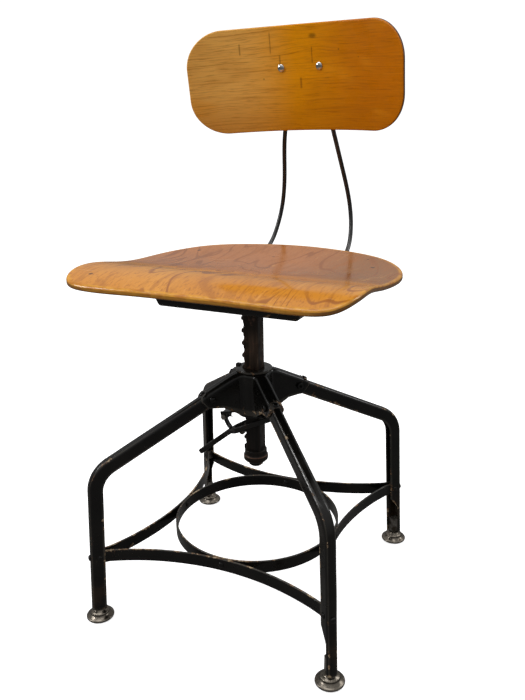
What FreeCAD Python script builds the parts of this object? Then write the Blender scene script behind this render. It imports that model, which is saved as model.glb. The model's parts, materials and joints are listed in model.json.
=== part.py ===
import FreeCAD, Part
import math
import os

# A drafting chair: a moulded plywood seat and backrest on a toothed steel post, held by a
# four-legged base of bent steel channel with curved stretchers and a round foot ring.
# Origin on the floor under the middle of the whole chair, +Z up, the sitter faces -Y, +X is the
# sitter's left. Everything is drawn about the post's axis and moved to the origin at the end.
# Lengths are in millimetres and angles in degrees.

V = FreeCAD.Vector
UP = V(0, 0, 1)
CENTRE = V(0, 0, 0)

post_y = -19.0             # the post's axis, a little in front of the middle of the whole chair

# ---- base: legs, stretchers and foot ring ----
base_turn = 2.5            # the base stands this far round from the seat, which swivels on it
leg_azimuths = {"front_right": 225, "front_left": 315, "rear_left": 45, "rear_right": 135}
leg_width = 16.0           # pressed channel, across the web
leg_depth = 21.0           # pressed channel, from web to mouth
leg_wall = 2.0
leg_corner = 6.0
slope_top = 364.0          # where the sloping centre lines of the legs meet the post axis
leg_start = 34.0
knee_radius = 248.0
knee_height = 240.0
knee_bend = 45.0
foot_radius = 263.0
leg_end = 16.0
strap_height = 20.0
strap_thick = 3.0
strap_middle = 105.0       # height of the strap centre line above the floor
ring_radius = 129.0
stretcher_arc = 27.0       # half angle of the long arc of a stretcher
stretcher_bend = 22.0      # radius of the short bend at its ends
stretcher_stop = 261.0

# ---- swivel glides ----
disc_radius = 20.8
stem_radius = 4.0
socket_height = 26.0

# ---- hub ----
hub_wall = 2.5
hub_gap = 0.1
hub_reach = 86.0
hub_bottom = 297.0
hub_drum = 26.0
hub_rivet_at = 77.0
hub_bolt_at = 70.0
guide_plate_thick = 3.0

# ---- toothed post ----
tooth_pitch = 19.05
valley_radius = 6.5
valley_zero = 262.7        # height of the valley that the latch bar sits in
post_half_x = 12.0
post_half_y = 12.0
tooth_reach = 4.0
tooth_half_y = 8.0
post_bottom = 233.0
post_top = 465.0
head_skirt = 2.4           # thin enough for the post to go down five teeth
head_cap = 1.5
guide_gap = 0.3
spindle_radius = 6.0
spindle_bottom = 421.0

# ---- release lever ----
pivot_x = -50.0
pivot_z = 280.0
pin_radius = 2.5
bar_radius = 4.2
bar_x = -16.6
fork_inside = 14.0
fork_outside = 19.0

# ---- seat ----
seat_thick = 7.5
seat_outline = [(0, -180.5), (80, -181), (150, -182), (188, -172), (204, -140), (205, -90), (204, -8),
                (200, 72), (160, 133), (84, 163), (0, 172)]
seat_profile = [(-190, 513), (-150, 525.5), (-100, 528), (-40, 518.5),
                (30, 511.5), (110, 513), (180, 521.5)]
pan_half_x = 106.0
pan_front = -86.0
pan_rear = 86.0
pan_floor = 471.5
pan_sheet = 3.0
pan_flare = 6.0

# ---- backrest and its rods ----
back_width = 342.0
back_height = 150.0
back_corner = 53.0
back_thick = 8.5
back_curve = 340.0
back_front = 179.0         # front face of the board at its middle
back_middle = 771.0
back_tilt = 7.0            # the top leans forward, as the sprung rods do
back_roll = -1.2           # the board hangs a little askew
rod_radius = 3.5
rod_route = [(73, -40, 494), (73, 100, 494), (71.5, 170, 497), (68.7, 224, 521.5), (66.3, 236, 540),
             (61.7, 244.3, 570), (57.5, 243, 596), (50.8, 231, 638), (43, 215, 686), (31.8, 193.5, 759)]
screw_x = 31.0
screw_z = 787.5


def turned(shape, azimuth):
    """A copy of the shape turned about the post axis."""
    copy = shape.copy()
    copy.rotate(CENTRE, UP, azimuth)
    return copy


def group(shapes):
    """Separate solids that share one node."""
    return Part.makeCompound(shapes)


def prism(points, direction):
    """A closed polygon pushed straight along a vector."""
    wire = Part.makePolygon(points + [points[0]])
    return Part.Face(wire).extrude(direction)


def side_prism(outline, half):
    """A polygon in the radial plane, given as (radius, height), thickened to both sides."""
    points = [V(r, -half, z) for r, z in outline]
    return prism(points, V(0, 2 * half, 0))


def revolved(outline):
    """A polygon in (radius, height) turned once round the vertical axis."""
    points = [V(r, 0, z) for r, z in outline]
    wire = Part.makePolygon(points + [points[0]])
    return Part.Face(wire).revolve(CENTRE, UP, 360)


def rod(start, end, radius):
    """A round bar from one point to another."""
    axis = end.sub(start)
    return Part.makeCylinder(radius, axis.Length, start, axis)


def dome(centre, direction, radius, height):
    """A domed head standing on a surface, as the cap of a sphere."""
    direction = V(direction).normalize()
    ball_radius = (radius * radius + height * height) / (2 * height)
    ball_centre = centre.sub(direction * (ball_radius - height))
    ball = Part.makeSphere(ball_radius, ball_centre)
    return ball.common(Part.makeCylinder(radius + 0.1, height + 0.1, centre, direction))


def rounded_box(half_x, half_y, corner, bottom, top):
    """An upright bar with rounded vertical corners."""
    box = Part.makeBox(2 * half_x, 2 * half_y, top - bottom, V(-half_x, -half_y, bottom))
    upright = [e for e in box.Edges if abs(e.Vertexes[0].Z - e.Vertexes[1].Z) > 1]
    return box.makeFillet(corner, upright)


def symmetric_spline(half_points):
    """A closed smooth outline through half its points and their mirror images."""
    left = [V(-x, y, 0) for x, y in half_points[-2:0:-1]]
    curve = Part.BSplineCurve()
    curve.interpolate([V(x, y, 0) for x, y in half_points] + left, PeriodicFlag=True)
    return Part.Wire(curve.toShape())


# ------------------------------------------------------------------ legs

def slope_line():
    """Unit vectors along and square to the sloping upper part of a leg."""
    fall = math.atan2(slope_top - knee_height, knee_radius)
    along = V(math.cos(fall), 0, -math.sin(fall))
    outward = V(math.sin(fall), 0, math.cos(fall))
    return along, outward


def slope_height(radius):
    """Height of the sloping centre line at a radius."""
    return slope_top - radius * (slope_top - knee_height) / knee_radius


def leg_radius(height):
    """Radius of the upright part's centre line at a height."""
    return knee_radius + (foot_radius - knee_radius) * (knee_height - height) / knee_height


def leg_path():
    """Centre line of a leg: a slope, the knee bend and the upright part."""
    along, outward = slope_line()
    knee = V(knee_radius, 0, knee_height)
    down = V(foot_radius, 0, 0).sub(knee).normalize()
    turn = along.getAngle(down)
    reach = knee_bend * math.tan(turn / 2)
    bend_start = knee.sub(along * reach)
    bend_end = knee.add(down * reach)
    bend_middle = bend_start.sub(outward * knee_bend)
    bisector = knee.sub(bend_middle).normalize()
    top = V(leg_start, 0, slope_height(leg_start))
    bottom = V(leg_radius(leg_end), 0, leg_end)
    edges = [Part.makeLine(top, bend_start),
             Part.Arc(bend_start, bend_middle.add(bisector * knee_bend), bend_end).toShape(),
             Part.makeLine(bend_end, bottom)]
    return Part.Wire(edges)


def channel_section():
    """The leg's U section with a rounded back, square to the start of the path."""
    along, outward = slope_line()
    start = V(leg_start, 0, slope_height(leg_start))
    half = leg_width / 2
    back = leg_depth / 2

    def at(side, out):
        return start.add(V(0, side, 0)).add(outward * out)

    def corner(sign, radius, side, out):
        middle = radius * math.sqrt(0.5)
        centre_side = sign * (side - radius)
        centre_out = out - radius
        return Part.Arc(at(sign * side, centre_out),
                        at(centre_side + sign * middle, centre_out + middle),
                        at(centre_side, out)).toShape()

    inner_half = half - leg_wall
    inner_back = back - leg_wall
    inner_corner = leg_corner - leg_wall
    flat = half - leg_corner
    edges = [Part.makeLine(at(-half, -back), at(-half, back - leg_corner)),
             corner(-1, leg_corner, half, back),
             Part.makeLine(at(-flat, back), at(flat, back)),
             corner(1, leg_corner, half, back),
             Part.makeLine(at(half, back - leg_corner), at(half, -back)),
             Part.makeLine(at(half, -back), at(inner_half, -back)),
             Part.makeLine(at(inner_half, -back), at(inner_half, inner_back - inner_corner)),
             corner(1, inner_corner, inner_half, inner_back),
             Part.makeLine(at(flat, inner_back), at(-flat, inner_back)),
             corner(-1, inner_corner, inner_half, inner_back),
             Part.makeLine(at(-inner_half, inner_back - inner_corner), at(-inner_half, -back)),
             Part.makeLine(at(-inner_half, -back), at(-half, -back))]
    return Part.Wire(Part.__sortEdges__(edges))


def flange_cut():
    """The part of one flange that is cut back below the stretchers, with a sloping start."""
    back = leg_radius(60) + leg_depth / 2 - leg_corner
    mouth = leg_radius(96) - leg_depth / 2 - 2
    outline = [(mouth, strap_middle - 14), (back, strap_middle - 40), (back + 2.5, 0), (mouth, 0)]
    points = [V(r, -leg_width / 2 - 1, z) for r, z in outline]
    return prism(points, V(0, leg_wall + 1.5, 0))


def radial_hole(height, radius):
    """A hole through the back of the upright part."""
    start = V(leg_radius(height), 0, height)
    return rod(start, start.add(V(leg_depth, 0, 0)), radius)


def cross_hole(x, z, radius, half):
    """A hole or pin across a leg."""
    return rod(V(x, -half, z), V(x, half, z), radius)


def leg():
    """One bent channel leg, along +X, with its holes."""
    body = leg_path().makePipeShell([channel_section()], True, True)
    body = body.cut(flange_cut())
    body = body.cut(radial_hole(strap_middle, 3.0))
    body = body.cut(cross_hole(rivet_radius_at(), strap_middle, 2.5, 20))
    along, outward = slope_line()
    seat = V(hub_rivet_at, 0, slope_height(hub_rivet_at))
    body = body.cut(rod(seat, seat.add(outward * 20), 2.5))
    body = body.cut(cross_hole(hub_bolt_at, slope_height(hub_bolt_at), 3.0, 20))
    return body


def rivet_radius_at():
    """Radius at which the stretcher rivet crosses the leg."""
    return leg_radius(strap_middle) - 3


# ------------------------------------------------------------------ stretchers and foot ring

def band_sector(centre, radius, start, end):
    """A piece of upright strap bent to a radius, between two azimuths seen from above."""
    bottom = strap_middle - strap_height / 2
    outer = Part.makeCylinder(radius + strap_thick / 2, strap_height, V(0, 0, bottom), UP, end - start)
    inner = Part.makeCylinder(radius - strap_thick / 2, strap_height, V(0, 0, bottom), UP, end - start)
    piece = turned(outer.cut(inner), start)
    piece.translate(centre)
    return piece


def stretcher_half():
    """Half a stretcher, whose middle touches the foot ring on +X and whose end lies at 45 degrees."""
    a = math.radians(stretcher_arc)
    touch = ring_radius + strap_thick + 0.05
    end_offset = leg_width / 2 - leg_wall - strap_thick / 2 - 0.03
    tight = stretcher_bend
    span = math.cos(a) + math.sin(a)
    wide = (touch + tight * (span - math.sqrt(2)) - end_offset * math.sqrt(2)) / (span - 1)
    arc_centre = V(touch + wide, 0, 0)
    long_arc = band_sector(arc_centre, wide, 180 - stretcher_arc, 180)
    join = V(touch + wide * (1 - math.cos(a)), wide * math.sin(a), 0)
    bend_centre = join.add(V(tight * math.cos(a), -tight * math.sin(a), 0))
    short_arc = band_sector(bend_centre, tight, 135, 180 - stretcher_arc)
    bend_end = bend_centre.add(V(-tight, tight, 0) * math.sqrt(0.5))
    along = bend_end.dot(V(1, 1, 0)) * math.sqrt(0.5)
    bottom = strap_middle - strap_height / 2
    tail = Part.makeBox(stretcher_stop - along, strap_thick, strap_height,
                        V(along, -end_offset - strap_thick / 2, bottom))
    return long_arc.fuse(short_arc).fuse(turned(tail, 45))


def stretcher():
    """One stretcher on +X with its rivet holes."""
    half = stretcher_half()
    other = half.mirror(CENTRE, V(0, 1, 0))
    body = half.fuse(other).removeSplitter()
    body = body.cut(rod(V(ring_radius - 5, 0, strap_middle), V(ring_radius + 12, 0, strap_middle), 2.5))
    for side in (-45, 45):
        body = body.cut(turned(cross_hole(rivet_radius_at(), strap_middle, 2.5, 20), side))
    return body


def foot_ring():
    """The round foot ring with four rivet holes."""
    bottom = strap_middle - strap_height / 2
    outer = Part.makeCylinder(ring_radius + strap_thick / 2, strap_height, V(0, 0, bottom))
    ring = outer.cut(Part.makeCylinder(ring_radius - strap_thick / 2, strap_height, V(0, 0, bottom)))
    for quarter in range(4):
        hole = rod(V(ring_radius - 5, 0, strap_middle), V(ring_radius + 5, 0, strap_middle), 2.5)
        ring = ring.cut(turned(hole, base_turn + 90 * quarter))
    return ring


def ring_rivet():
    """A rivet that ties the foot ring to a stretcher."""
    inside = ring_radius - strap_thick / 2
    outside = ring_radius + 1.5 * strap_thick + 0.05
    start = V(inside - 0.12, 0, strap_middle)
    end = V(outside + 0.08, 0, strap_middle)
    shank = rod(start, end, 2.4)
    return shank.fuse(dome(start, V(-1, 0, 0), 4.6, 2.2)).fuse(dome(end, V(1, 0, 0), 4.6, 2.2))


def stretcher_rivet():
    """A rivet across a leg, through both flanges, two strap ends and the block between them."""
    x = rivet_radius_at()
    face = leg_width / 2
    shank = cross_hole(x, strap_middle, 2.4, face)
    left = dome(V(x, face, strap_middle), V(0, 1, 0), 4.4, 2.0)
    right = dome(V(x, -face, strap_middle), V(0, -1, 0), 4.4, 2.0)
    return shank.fuse(left).fuse(right)


def stretcher_block():
    """The filler block between two strap ends, tapped for the leg bolt."""
    half = leg_width / 2 - leg_wall - strap_thick - 0.1
    start = leg_radius(strap_middle) - 8
    stop = leg_radius(strap_middle) + leg_depth / 2 - leg_wall - 1.2
    block = Part.makeBox(stop - start, 2 * half, 16, V(start, -half, strap_middle - 8))
    block = block.cut(cross_hole(rivet_radius_at(), strap_middle, 2.5, 20))
    return block.cut(rod(V(leg_radius(strap_middle) + 2, 0, strap_middle),
                         V(leg_radius(strap_middle) + 30, 0, strap_middle), 2.0))


def leg_bolt():
    """The bolt through the back of a leg into the filler block."""
    face = leg_radius(strap_middle) + leg_depth / 2 + 0.3
    inner = leg_radius(strap_middle) + 2.5
    shank = rod(V(inner, 0, strap_middle), V(face + 0.1, 0, strap_middle), 1.95)
    return shank.fuse(dome(V(face, 0, strap_middle), V(1, 0, 0), 4.6, 2.8))


# ------------------------------------------------------------------ glides

def glide():
    """A swivel glide: a domed disc, a neck and a stem, on the vertical axis."""
    body = revolved([(0, 0), (disc_radius - 2.2, 0), (disc_radius - 0.6, 0.7), (disc_radius, 2.2),
                     (disc_radius - 0.8, 4.2), (16.5, 6.2), (14.0, 7.4), (13.4, 10.0),
                     (12.0, 12.0), (9.0, 13.0), (8.0, 15.0), (stem_radius, 15.0),
                     (stem_radius, leg_end + socket_height - 4), (0, leg_end + socket_height - 4)])
    return body


def glide_socket():
    """The block in a leg's end that takes a glide's stem."""
    centre = leg_radius(leg_end + socket_height / 2)
    half = leg_width / 2 - leg_wall - 0.15
    block = Part.makeBox(2 * half + 1, 2 * half, socket_height - 1,
                         V(centre - half - 0.5, -half, leg_end + 1))
    return block.cut(Part.makeCylinder(stem_radius + 0.05, 60, V(glide_radius(), 0, 0)))


def glide_radius():
    """Radius of a glide's own axis."""
    return leg_radius(leg_end + socket_height / 2)


# ------------------------------------------------------------------ hub

def arm_outline(offset, bottom, reach):
    """Side view of one hub arm: flat by the post, then parallel to the leg."""
    along, outward = slope_line()
    top = V(0, 0, slope_top).add(outward * offset)
    rise = top.z + top.x * math.tan(math.asin(-along.z))
    end_top = V(reach, 0, rise - reach * (slope_top - knee_height) / knee_radius)
    end_low = end_top.sub(outward * (leg_depth + offset - leg_depth / 2 - 2))
    flat = slope_top + (offset - leg_depth / 2 - hub_gap - hub_wall)
    flat_end = (rise - flat) * knee_radius / (slope_top - knee_height)
    return [(0, flat), (flat_end, flat), (end_top.x, end_top.z), (end_low.x, end_low.z),
            (52, hub_bottom + 16), (hub_drum, bottom), (0, bottom)]


def hub_shell():
    """The pressed cross-shaped cover that clasps the upper ends of the four legs."""
    out_offset = leg_depth / 2 + hub_gap + hub_wall
    in_offset = leg_depth / 2 + hub_gap
    out_half = leg_width / 2 + hub_gap + hub_wall
    in_half = leg_width / 2 + hub_gap
    outer = Part.makeCylinder(hub_drum, slope_top - hub_bottom, V(0, 0, hub_bottom))
    inner = Part.makeCylinder(hub_drum - hub_wall, slope_top - hub_wall - hub_bottom, V(0, 0, hub_bottom))
    arm = side_prism(arm_outline(out_offset, hub_bottom, hub_reach), out_half)
    cavity = arm_outline(in_offset, hub_bottom, hub_reach + 20)[:3] + [(hub_reach + 20, 250), (0, 250)]
    hollow = side_prism(cavity, in_half)
    for azimuth in leg_azimuths.values():
        outer = outer.fuse(turned(arm, azimuth + base_turn))
        inner = inner.fuse(turned(hollow, azimuth + base_turn))
    shell = outer.removeSplitter().cut(inner)
    along, outward = slope_line()
    start = V(hub_rivet_at, 0, slope_height(hub_rivet_at))
    for azimuth in leg_azimuths.values():
        shell = shell.cut(turned(rod(start, start.add(outward * 30), 2.5), azimuth + base_turn))
        bolt = cross_hole(hub_bolt_at, slope_height(hub_bolt_at), 3.0, 30)
        shell = shell.cut(turned(bolt, azimuth + base_turn))
    return shell.cut(post_opening(slope_top - 10, slope_top + 10))


def post_opening(bottom, top):
    """The hole that lets the toothed post through a plate."""
    body = Part.makeBox(2 * (post_half_x + guide_gap), 2 * (post_half_y + guide_gap), top - bottom,
                        V(-post_half_x - guide_gap, -post_half_y - guide_gap, bottom))
    teeth = Part.makeBox(tooth_reach + guide_gap, 2 * (tooth_half_y + guide_gap), top - bottom,
                         V(-post_half_x - tooth_reach - guide_gap, -tooth_half_y - guide_gap, bottom))
    return body.fuse(teeth)


def hub_top_plate():
    """The round guide plate on top of the hub, with a small locating tab."""
    plate = Part.makeCylinder(27.5, guide_plate_thick, V(0, 0, slope_top + 0.05))
    tab = Part.makeBox(7, 8, guide_plate_thick + 2.5, V(-29.5, -4, slope_top + 0.05))
    return plate.fuse(tab).cut(post_opening(slope_top - 5, slope_top + 15))


def hub_guide_sleeve():
    """The rectangular sleeve inside the hub that keeps the post upright."""
    bottom = hub_bottom + 2
    top = slope_top - hub_wall - 0.1
    outer = Part.makeBox(36, 31, top - bottom, V(-20, -15.5, bottom))
    slot = post_opening(bottom - 5, top + 5)
    core = Part.makeCylinder(hub_drum - hub_wall - 0.2, top - bottom, V(0, 0, bottom))
    return outer.common(core).cut(slot)


def hub_bottom_plate():
    """The plate under the hub, with the bent tongue that carries the lever."""
    sheet = guide_plate_thick
    plate = Part.makeCylinder(hub_drum, sheet, V(0, 0, hub_bottom - sheet - 0.05))
    top = hub_bottom - 0.05
    tongue = side_prism([(-20, top), (-20, top - sheet), (-54, top - sheet - 9.5), (-54, top - 9.5)], 9.0)
    body = plate.fuse(tongue)
    for side in (-1, 1):
        ear = side_prism([(-56, top - 9), (-44, top - 6.5), (-46, pivot_z - 5), (-54, pivot_z - 5)], 1.25)
        ear.translate(V(0, side * 7.75, 0))
        body = body.fuse(ear)
    body = body.cut(cross_hole(pivot_x, pivot_z, pin_radius + 0.02, 30))
    return body.cut(post_opening(hub_bottom - 20, hub_bottom + 5)).removeSplitter()


def hub_rivet():
    """A rivet through the top of a hub arm and the leg under it."""
    along, outward = slope_line()
    middle = V(hub_rivet_at, 0, slope_height(hub_rivet_at))
    low = middle.add(outward * (leg_depth / 2 - leg_wall))
    high = middle.add(outward * (leg_depth / 2 + hub_gap + hub_wall))
    shank = rod(low, high, 2.4)
    return shank.fuse(dome(high, outward, 4.4, 2.4)).fuse(dome(low, outward * -1, 4.2, 1.6))


def hub_bolt():
    """A bolt across a hub arm, with a domed head and a hexagon nut."""
    z = slope_height(hub_bolt_at)
    face = leg_width / 2 + hub_gap + hub_wall
    shank = cross_hole(hub_bolt_at, z, 2.9, face)
    head = dome(V(hub_bolt_at, face, z), V(0, 1, 0), 5.2, 3.4)
    corners = [V(hub_bolt_at + 5.6 * math.cos(math.radians(60 * k)), -face,
                 z + 5.6 * math.sin(math.radians(60 * k))) for k in range(6)]
    nut = prism(corners, V(0, -4.2, 0))
    return shank.fuse(head).fuse(nut)


# ------------------------------------------------------------------ post

def tooth_valleys():
    """Heights of the round valleys between the teeth."""
    first = math.ceil((post_bottom + 8 - valley_zero) / tooth_pitch)
    last = math.floor((post_top - 18 - valley_zero) / tooth_pitch)
    return [valley_zero + k * tooth_pitch for k in range(first, last + 1)]


def rack_post():
    """The toothed lifting post with a bore in its top for the seat spindle."""
    bar = rounded_box(post_half_x, post_half_y, 3.0, post_bottom, post_top)
    face = -post_half_x
    rack = Part.makeBox(tooth_reach + 4, 2 * tooth_half_y, post_top - post_bottom,
                        V(face - tooth_reach, -tooth_half_y, post_bottom))
    body = bar.fuse(rack)
    tip = face - tooth_reach
    for z in tooth_valleys():
        valley = rod(V(tip - 0.5, -20, z), V(tip - 0.5, 20, z), valley_radius)
        slope = prism([V(tip - 1, -20, z), V(face - 1.5, -20, z - 4.5), V(tip - 1, -20, z - 11)], V(0, 40, 0))
        body = body.cut(valley).cut(slope)
    body = body.cut(Part.makeCylinder(spindle_radius + 0.05, 60, V(0, 0, spindle_bottom - 2)))
    return body


def post_head():
    """The collar pressed on the post's top, with a recess for the bearing."""
    collar = rounded_box(17.5, 15.0, 4.0, post_top - head_skirt, post_top + head_cap)
    body = collar.cut(rounded_box(post_half_x + 0.02, post_half_y + 0.02, 3.0, post_top - 9, post_top))
    notch = Part.makeBox(tooth_reach + 1.0, 2 * tooth_half_y + 0.04, 8.0,
                         V(-post_half_x - tooth_reach - 0.02, -tooth_half_y - 0.02, post_top - 8))
    body = body.cut(notch)
    return body.cut(Part.makeCylinder(spindle_radius + 0.05, 40, V(0, 0, post_top - 10)))


def stop_collar():
    """The round collar at the post's foot that stops it leaving the hub."""
    return revolved([(0, 214), (17, 214), (19, 216.5), (19, 223), (17.2, 225.5),
                     (17.2, post_bottom), (0, post_bottom)]).cut(Part.makeCylinder(5.02, 60, V(0, 0, 200)))


def end_nut():
    """The nut and stud that hold the stop collar on the post's foot."""
    nut = revolved([(0, 205), (8.5, 205), (11.2, 207.5), (11.2, 211), (9.8, 213.9), (0, 213.9)])
    return nut.fuse(Part.makeCylinder(5.0, 32, V(0, 0, 209)))


def tap_post_foot(post):
    """The post with the stud hole in its foot."""
    return post.cut(Part.makeCylinder(5.02, 40, V(0, 0, post_bottom - 30)))


# ------------------------------------------------------------------ release lever

def release_lever():
    """The forged fork that passes both sides of the post, with its handle and hanging eye."""
    plan = [(-101, -3.5), (-54, -4.2), (-40, -9), (-28, -fork_outside), (38, -fork_outside),
            (38, -fork_inside), (-22, -fork_inside), (-30, -6), (-30, 6), (-22, fork_inside),
            (38, fork_inside), (38, fork_outside), (-28, fork_outside), (-40, 9), (-54, 4.2), (-101, 3.5)]
    blank = prism([V(x, y, 190) for x, y in plan], V(0, 0, 130))
    side = side_prism([(-103, 209), (-98.5, 203.5), (-39, 252.5), (40, 293), (36, 300.5), (-44, 259.5)], 30)
    return blank.common(side)


def lever_hanger():
    """The curved strap that hangs the fork from the tongue."""
    eye = rod(V(pivot_x, -4.5, pivot_z), V(pivot_x, 4.5, pivot_z), 5.0)
    inner = rod(V(pivot_x, -9, pivot_z), V(pivot_x, 9, pivot_z), pin_radius + 0.04)
    strap = side_prism([(-54.8, 281), (-51.5, 281), (-48.8, 271), (-43.5, 263.5), (-41, 260.8),
                        (-43.6, 259), (-48, 262), (-52.5, 270)], 4.5)
    return eye.fuse(strap).cut(inner).cut(release_lever())


def latch_bar():
    """The bar across the fork that sits in a valley of the toothed post."""
    return cross_hole(bar_x, valley_zero, bar_radius, fork_inside - 0.02)


def fork_end_pin():
    """The pin that ties the two ends of the fork."""
    return cross_hole(32.5, 293.3, 2.8, fork_inside - 0.02)


def pivot_pin():
    """The headed pin that the lever swings on."""
    pin = cross_hole(pivot_x, pivot_z, pin_radius, 11)
    head = rod(V(pivot_x, -11, pivot_z), V(pivot_x, -9.1, pivot_z), 4.2)
    tail = rod(V(pivot_x, 9.1, pivot_z), V(pivot_x, 11, pivot_z), 3.6)
    return pin.fuse(head).fuse(tail)


def lever_spring():
    """The small torsion spring beside the hanger's eye: one closed coil and its two straight tails."""
    coil = Part.makeTorus(3.55, 0.7, V(pivot_x, 5.5, pivot_z), V(0, 1, 0))
    front_tail = rod(V(pivot_x, 5.5, pivot_z - 3.55), V(pivot_x + 8, 5.5, pivot_z - 3.55), 0.6)
    rear_tail = rod(V(pivot_x - 3.55, 5.5, pivot_z), V(pivot_x - 3.55, 5.5, pivot_z - 9), 0.6)
    return coil.fuse(front_tail).fuse(rear_tail)


# ------------------------------------------------------------------ seat swivel and pan

def swivel_spindle():
    """The spindle that turns in the post, with its flange on the pan floor."""
    stem = Part.makeCylinder(spindle_radius, pan_floor - spindle_bottom, V(0, 0, spindle_bottom))
    flange = Part.makeCylinder(20, 4, V(0, 0, pan_floor + pan_sheet))
    neck = Part.makeCylinder(spindle_radius, pan_sheet, V(0, 0, pan_floor))
    return stem.fuse(neck).fuse(flange)


def race(bottom, height):
    """A flat ring of the thrust bearing round the spindle."""
    return revolved([(spindle_radius + 0.1, bottom), (15.5, bottom),
                     (15.5, bottom + height), (spindle_radius + 0.1, bottom + height)])


def bearing_balls():
    """The ring of balls between the two races."""
    balls = []
    for k in range(12):
        a = math.radians(30 * k)
        balls.append(Part.makeSphere(1.5, V(11 * math.cos(a), 11 * math.sin(a), post_top + head_cap + 2.5)))
    return group(balls)


def profile_curve(drop):
    """The seat's side profile, lowered by a given amount."""
    curve = Part.BSplineCurve()
    curve.interpolate([V(0, y, z - drop) for y, z in seat_profile])
    return curve.toShape()


def profile_height(y):
    """Height of the seat's upper face at a distance behind the post."""
    line = Part.makeLine(V(0, y, 400), V(0, y, 600))
    return profile_curve(0).distToShape(line)[1][0][0].z


def seat_board():
    """The moulded plywood seat: its outline cut from a sheet with the side profile."""
    top = profile_curve(0)
    low = profile_curve(seat_thick)
    ends = [Part.makeLine(top.Vertexes[k].Point, low.Vertexes[k].Point) for k in (0, 1)]
    sheet = Part.Face(Part.Wire(Part.__sortEdges__([top, low] + ends))).extrude(V(440, 0, 0))
    sheet.translate(V(-220, 0, 0))
    outline = Part.Face(symmetric_spline(seat_outline)).extrude(V(0, 0, 200))
    outline.translate(V(0, 0, 450))
    return sheet.common(outline)


def under_seat(gap):
    """The space below the seat's under face, as a solid to trim other parts with."""
    low = profile_curve(seat_thick + gap)
    a, b = low.Vertexes[0].Point, low.Vertexes[1].Point
    base = 440
    edges = [low, Part.makeLine(b, V(0, b.y, base)), Part.makeLine(V(0, b.y, base), V(0, a.y, base)),
             Part.makeLine(V(0, a.y, base), a)]
    block = Part.Face(Part.Wire(Part.__sortEdges__(edges))).extrude(V(300, 0, 0))
    block.translate(V(-150, 0, 0))
    return block


def pan_blank(shrink, floor):
    """The pan's outside, or its hollow when shrunk: flared ends and straight front and rear."""
    low = pan_half_x - shrink
    high = low + pan_flare
    section = [V(-low, pan_front + shrink, floor), V(low, pan_front + shrink, floor),
               V(high, pan_front + shrink, floor + 12), V(high, pan_front + shrink, 540),
               V(-high, pan_front + shrink, 540), V(-high, pan_front + shrink, floor + 12)]
    return prism(section, V(0, pan_rear - pan_front - 2 * shrink, 0))


def screw_places():
    """The four places where the pan is screwed to the seat."""
    return [V(x, y, 0) for x in (-92, 92) for y in (pan_front + 20, pan_rear - 20)]


def seat_pan():
    """The pressed steel pan under the seat, carrying the swivel and the back rods."""
    shell = pan_blank(0, pan_floor).common(under_seat(0.1))
    shell = shell.cut(pan_blank(pan_sheet, pan_floor + pan_sheet))
    shell = shell.cut(Part.makeCylinder(spindle_radius + 0.02, 20, V(0, 0, pan_floor - 5)))
    for place in screw_places():
        shell = shell.cut(Part.makeCylinder(2.6, 20, V(place.x, place.y, pan_floor - 5)))
    for place in clamp_places():
        shell = shell.cut(Part.makeCylinder(2.1, 20, V(place.x, place.y, pan_floor - 5)))
    for side in (-1, 1):
        shell = shell.cut(rod(V(side * rod_route[0][0], 60, rod_route[0][2]),
                              V(side * rod_route[0][0], 100, rod_route[0][2]), rod_radius + 0.4))
    return shell


def seat_spacers():
    """Tubes between the pan floor and the seat, round the seat screws."""
    tubes = []
    for place in screw_places():
        blank = Part.makeCylinder(6, 60, V(place.x, place.y, pan_floor + pan_sheet + 0.02))
        tubes.append(blank.common(under_seat(0.05)).cut(Part.makeCylinder(2.6, 90, V(place.x, place.y, 460))))
    return group(tubes)


def seat_screws():
    """Round-headed screws up through the pan and spacers into the seat."""
    screws = []
    for place in screw_places():
        top = profile_height(place.y) - 2.5
        shank = Part.makeCylinder(2.5, top - pan_floor, V(place.x, place.y, pan_floor))
        screws.append(shank.fuse(dome(V(place.x, place.y, pan_floor), V(0, 0, -1), 5.0, 2.6)))
    return group(screws)


def drill_seat(board):
    """The seat with its blind screw holes."""
    for place in screw_places():
        depth = profile_height(place.y) - 2.3
        board = board.cut(Part.makeCylinder(2.55, depth - 460, V(place.x, place.y, 460)))
    return board


# ------------------------------------------------------------------ back rods and backrest

def clamp_places():
    """The four clamps that hold the two rods on the pan floor."""
    return [V(side * rod_route[0][0], y, 0) for side in (-1, 1) for y in (-25, 45)]


def rod_clamps():
    """Blocks on the pan floor with a bore for a back rod."""
    blocks = []
    for place in clamp_places():
        top = rod_route[0][2] + rod_radius + 2.0
        block = Part.makeBox(17, 15, top - pan_floor - pan_sheet - 0.02,
                             V(place.x - 8.5, place.y - 7.5, pan_floor + pan_sheet + 0.02))
        bore = rod(V(place.x, place.y - 20, rod_route[0][2]), V(place.x, place.y + 20, rod_route[0][2]),
                   rod_radius + 0.02)
        tap = Part.makeCylinder(2.1, 14, V(place.x, place.y, pan_floor))
        blocks.append(block.cut(bore).cut(tap))
    return group(blocks)


def clamp_screws():
    """Screws up through the pan floor into the rod clamps."""
    screws = []
    for place in clamp_places():
        shank = Part.makeCylinder(2.0, 13.5, V(place.x, place.y, pan_floor))
        screws.append(shank.fuse(dome(V(place.x, place.y, pan_floor), V(0, 0, -1), 4.2, 2.2)))
    return group(screws)


def tilt_back(shape):
    """Lean a backrest piece about the board's middle."""
    shape = shape.copy()
    shape.rotate(V(0, back_front, back_middle), V(0, 1, 0), back_roll)
    shape.rotate(V(0, back_front, back_middle), V(1, 0, 0), back_tilt)
    return shape


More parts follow.
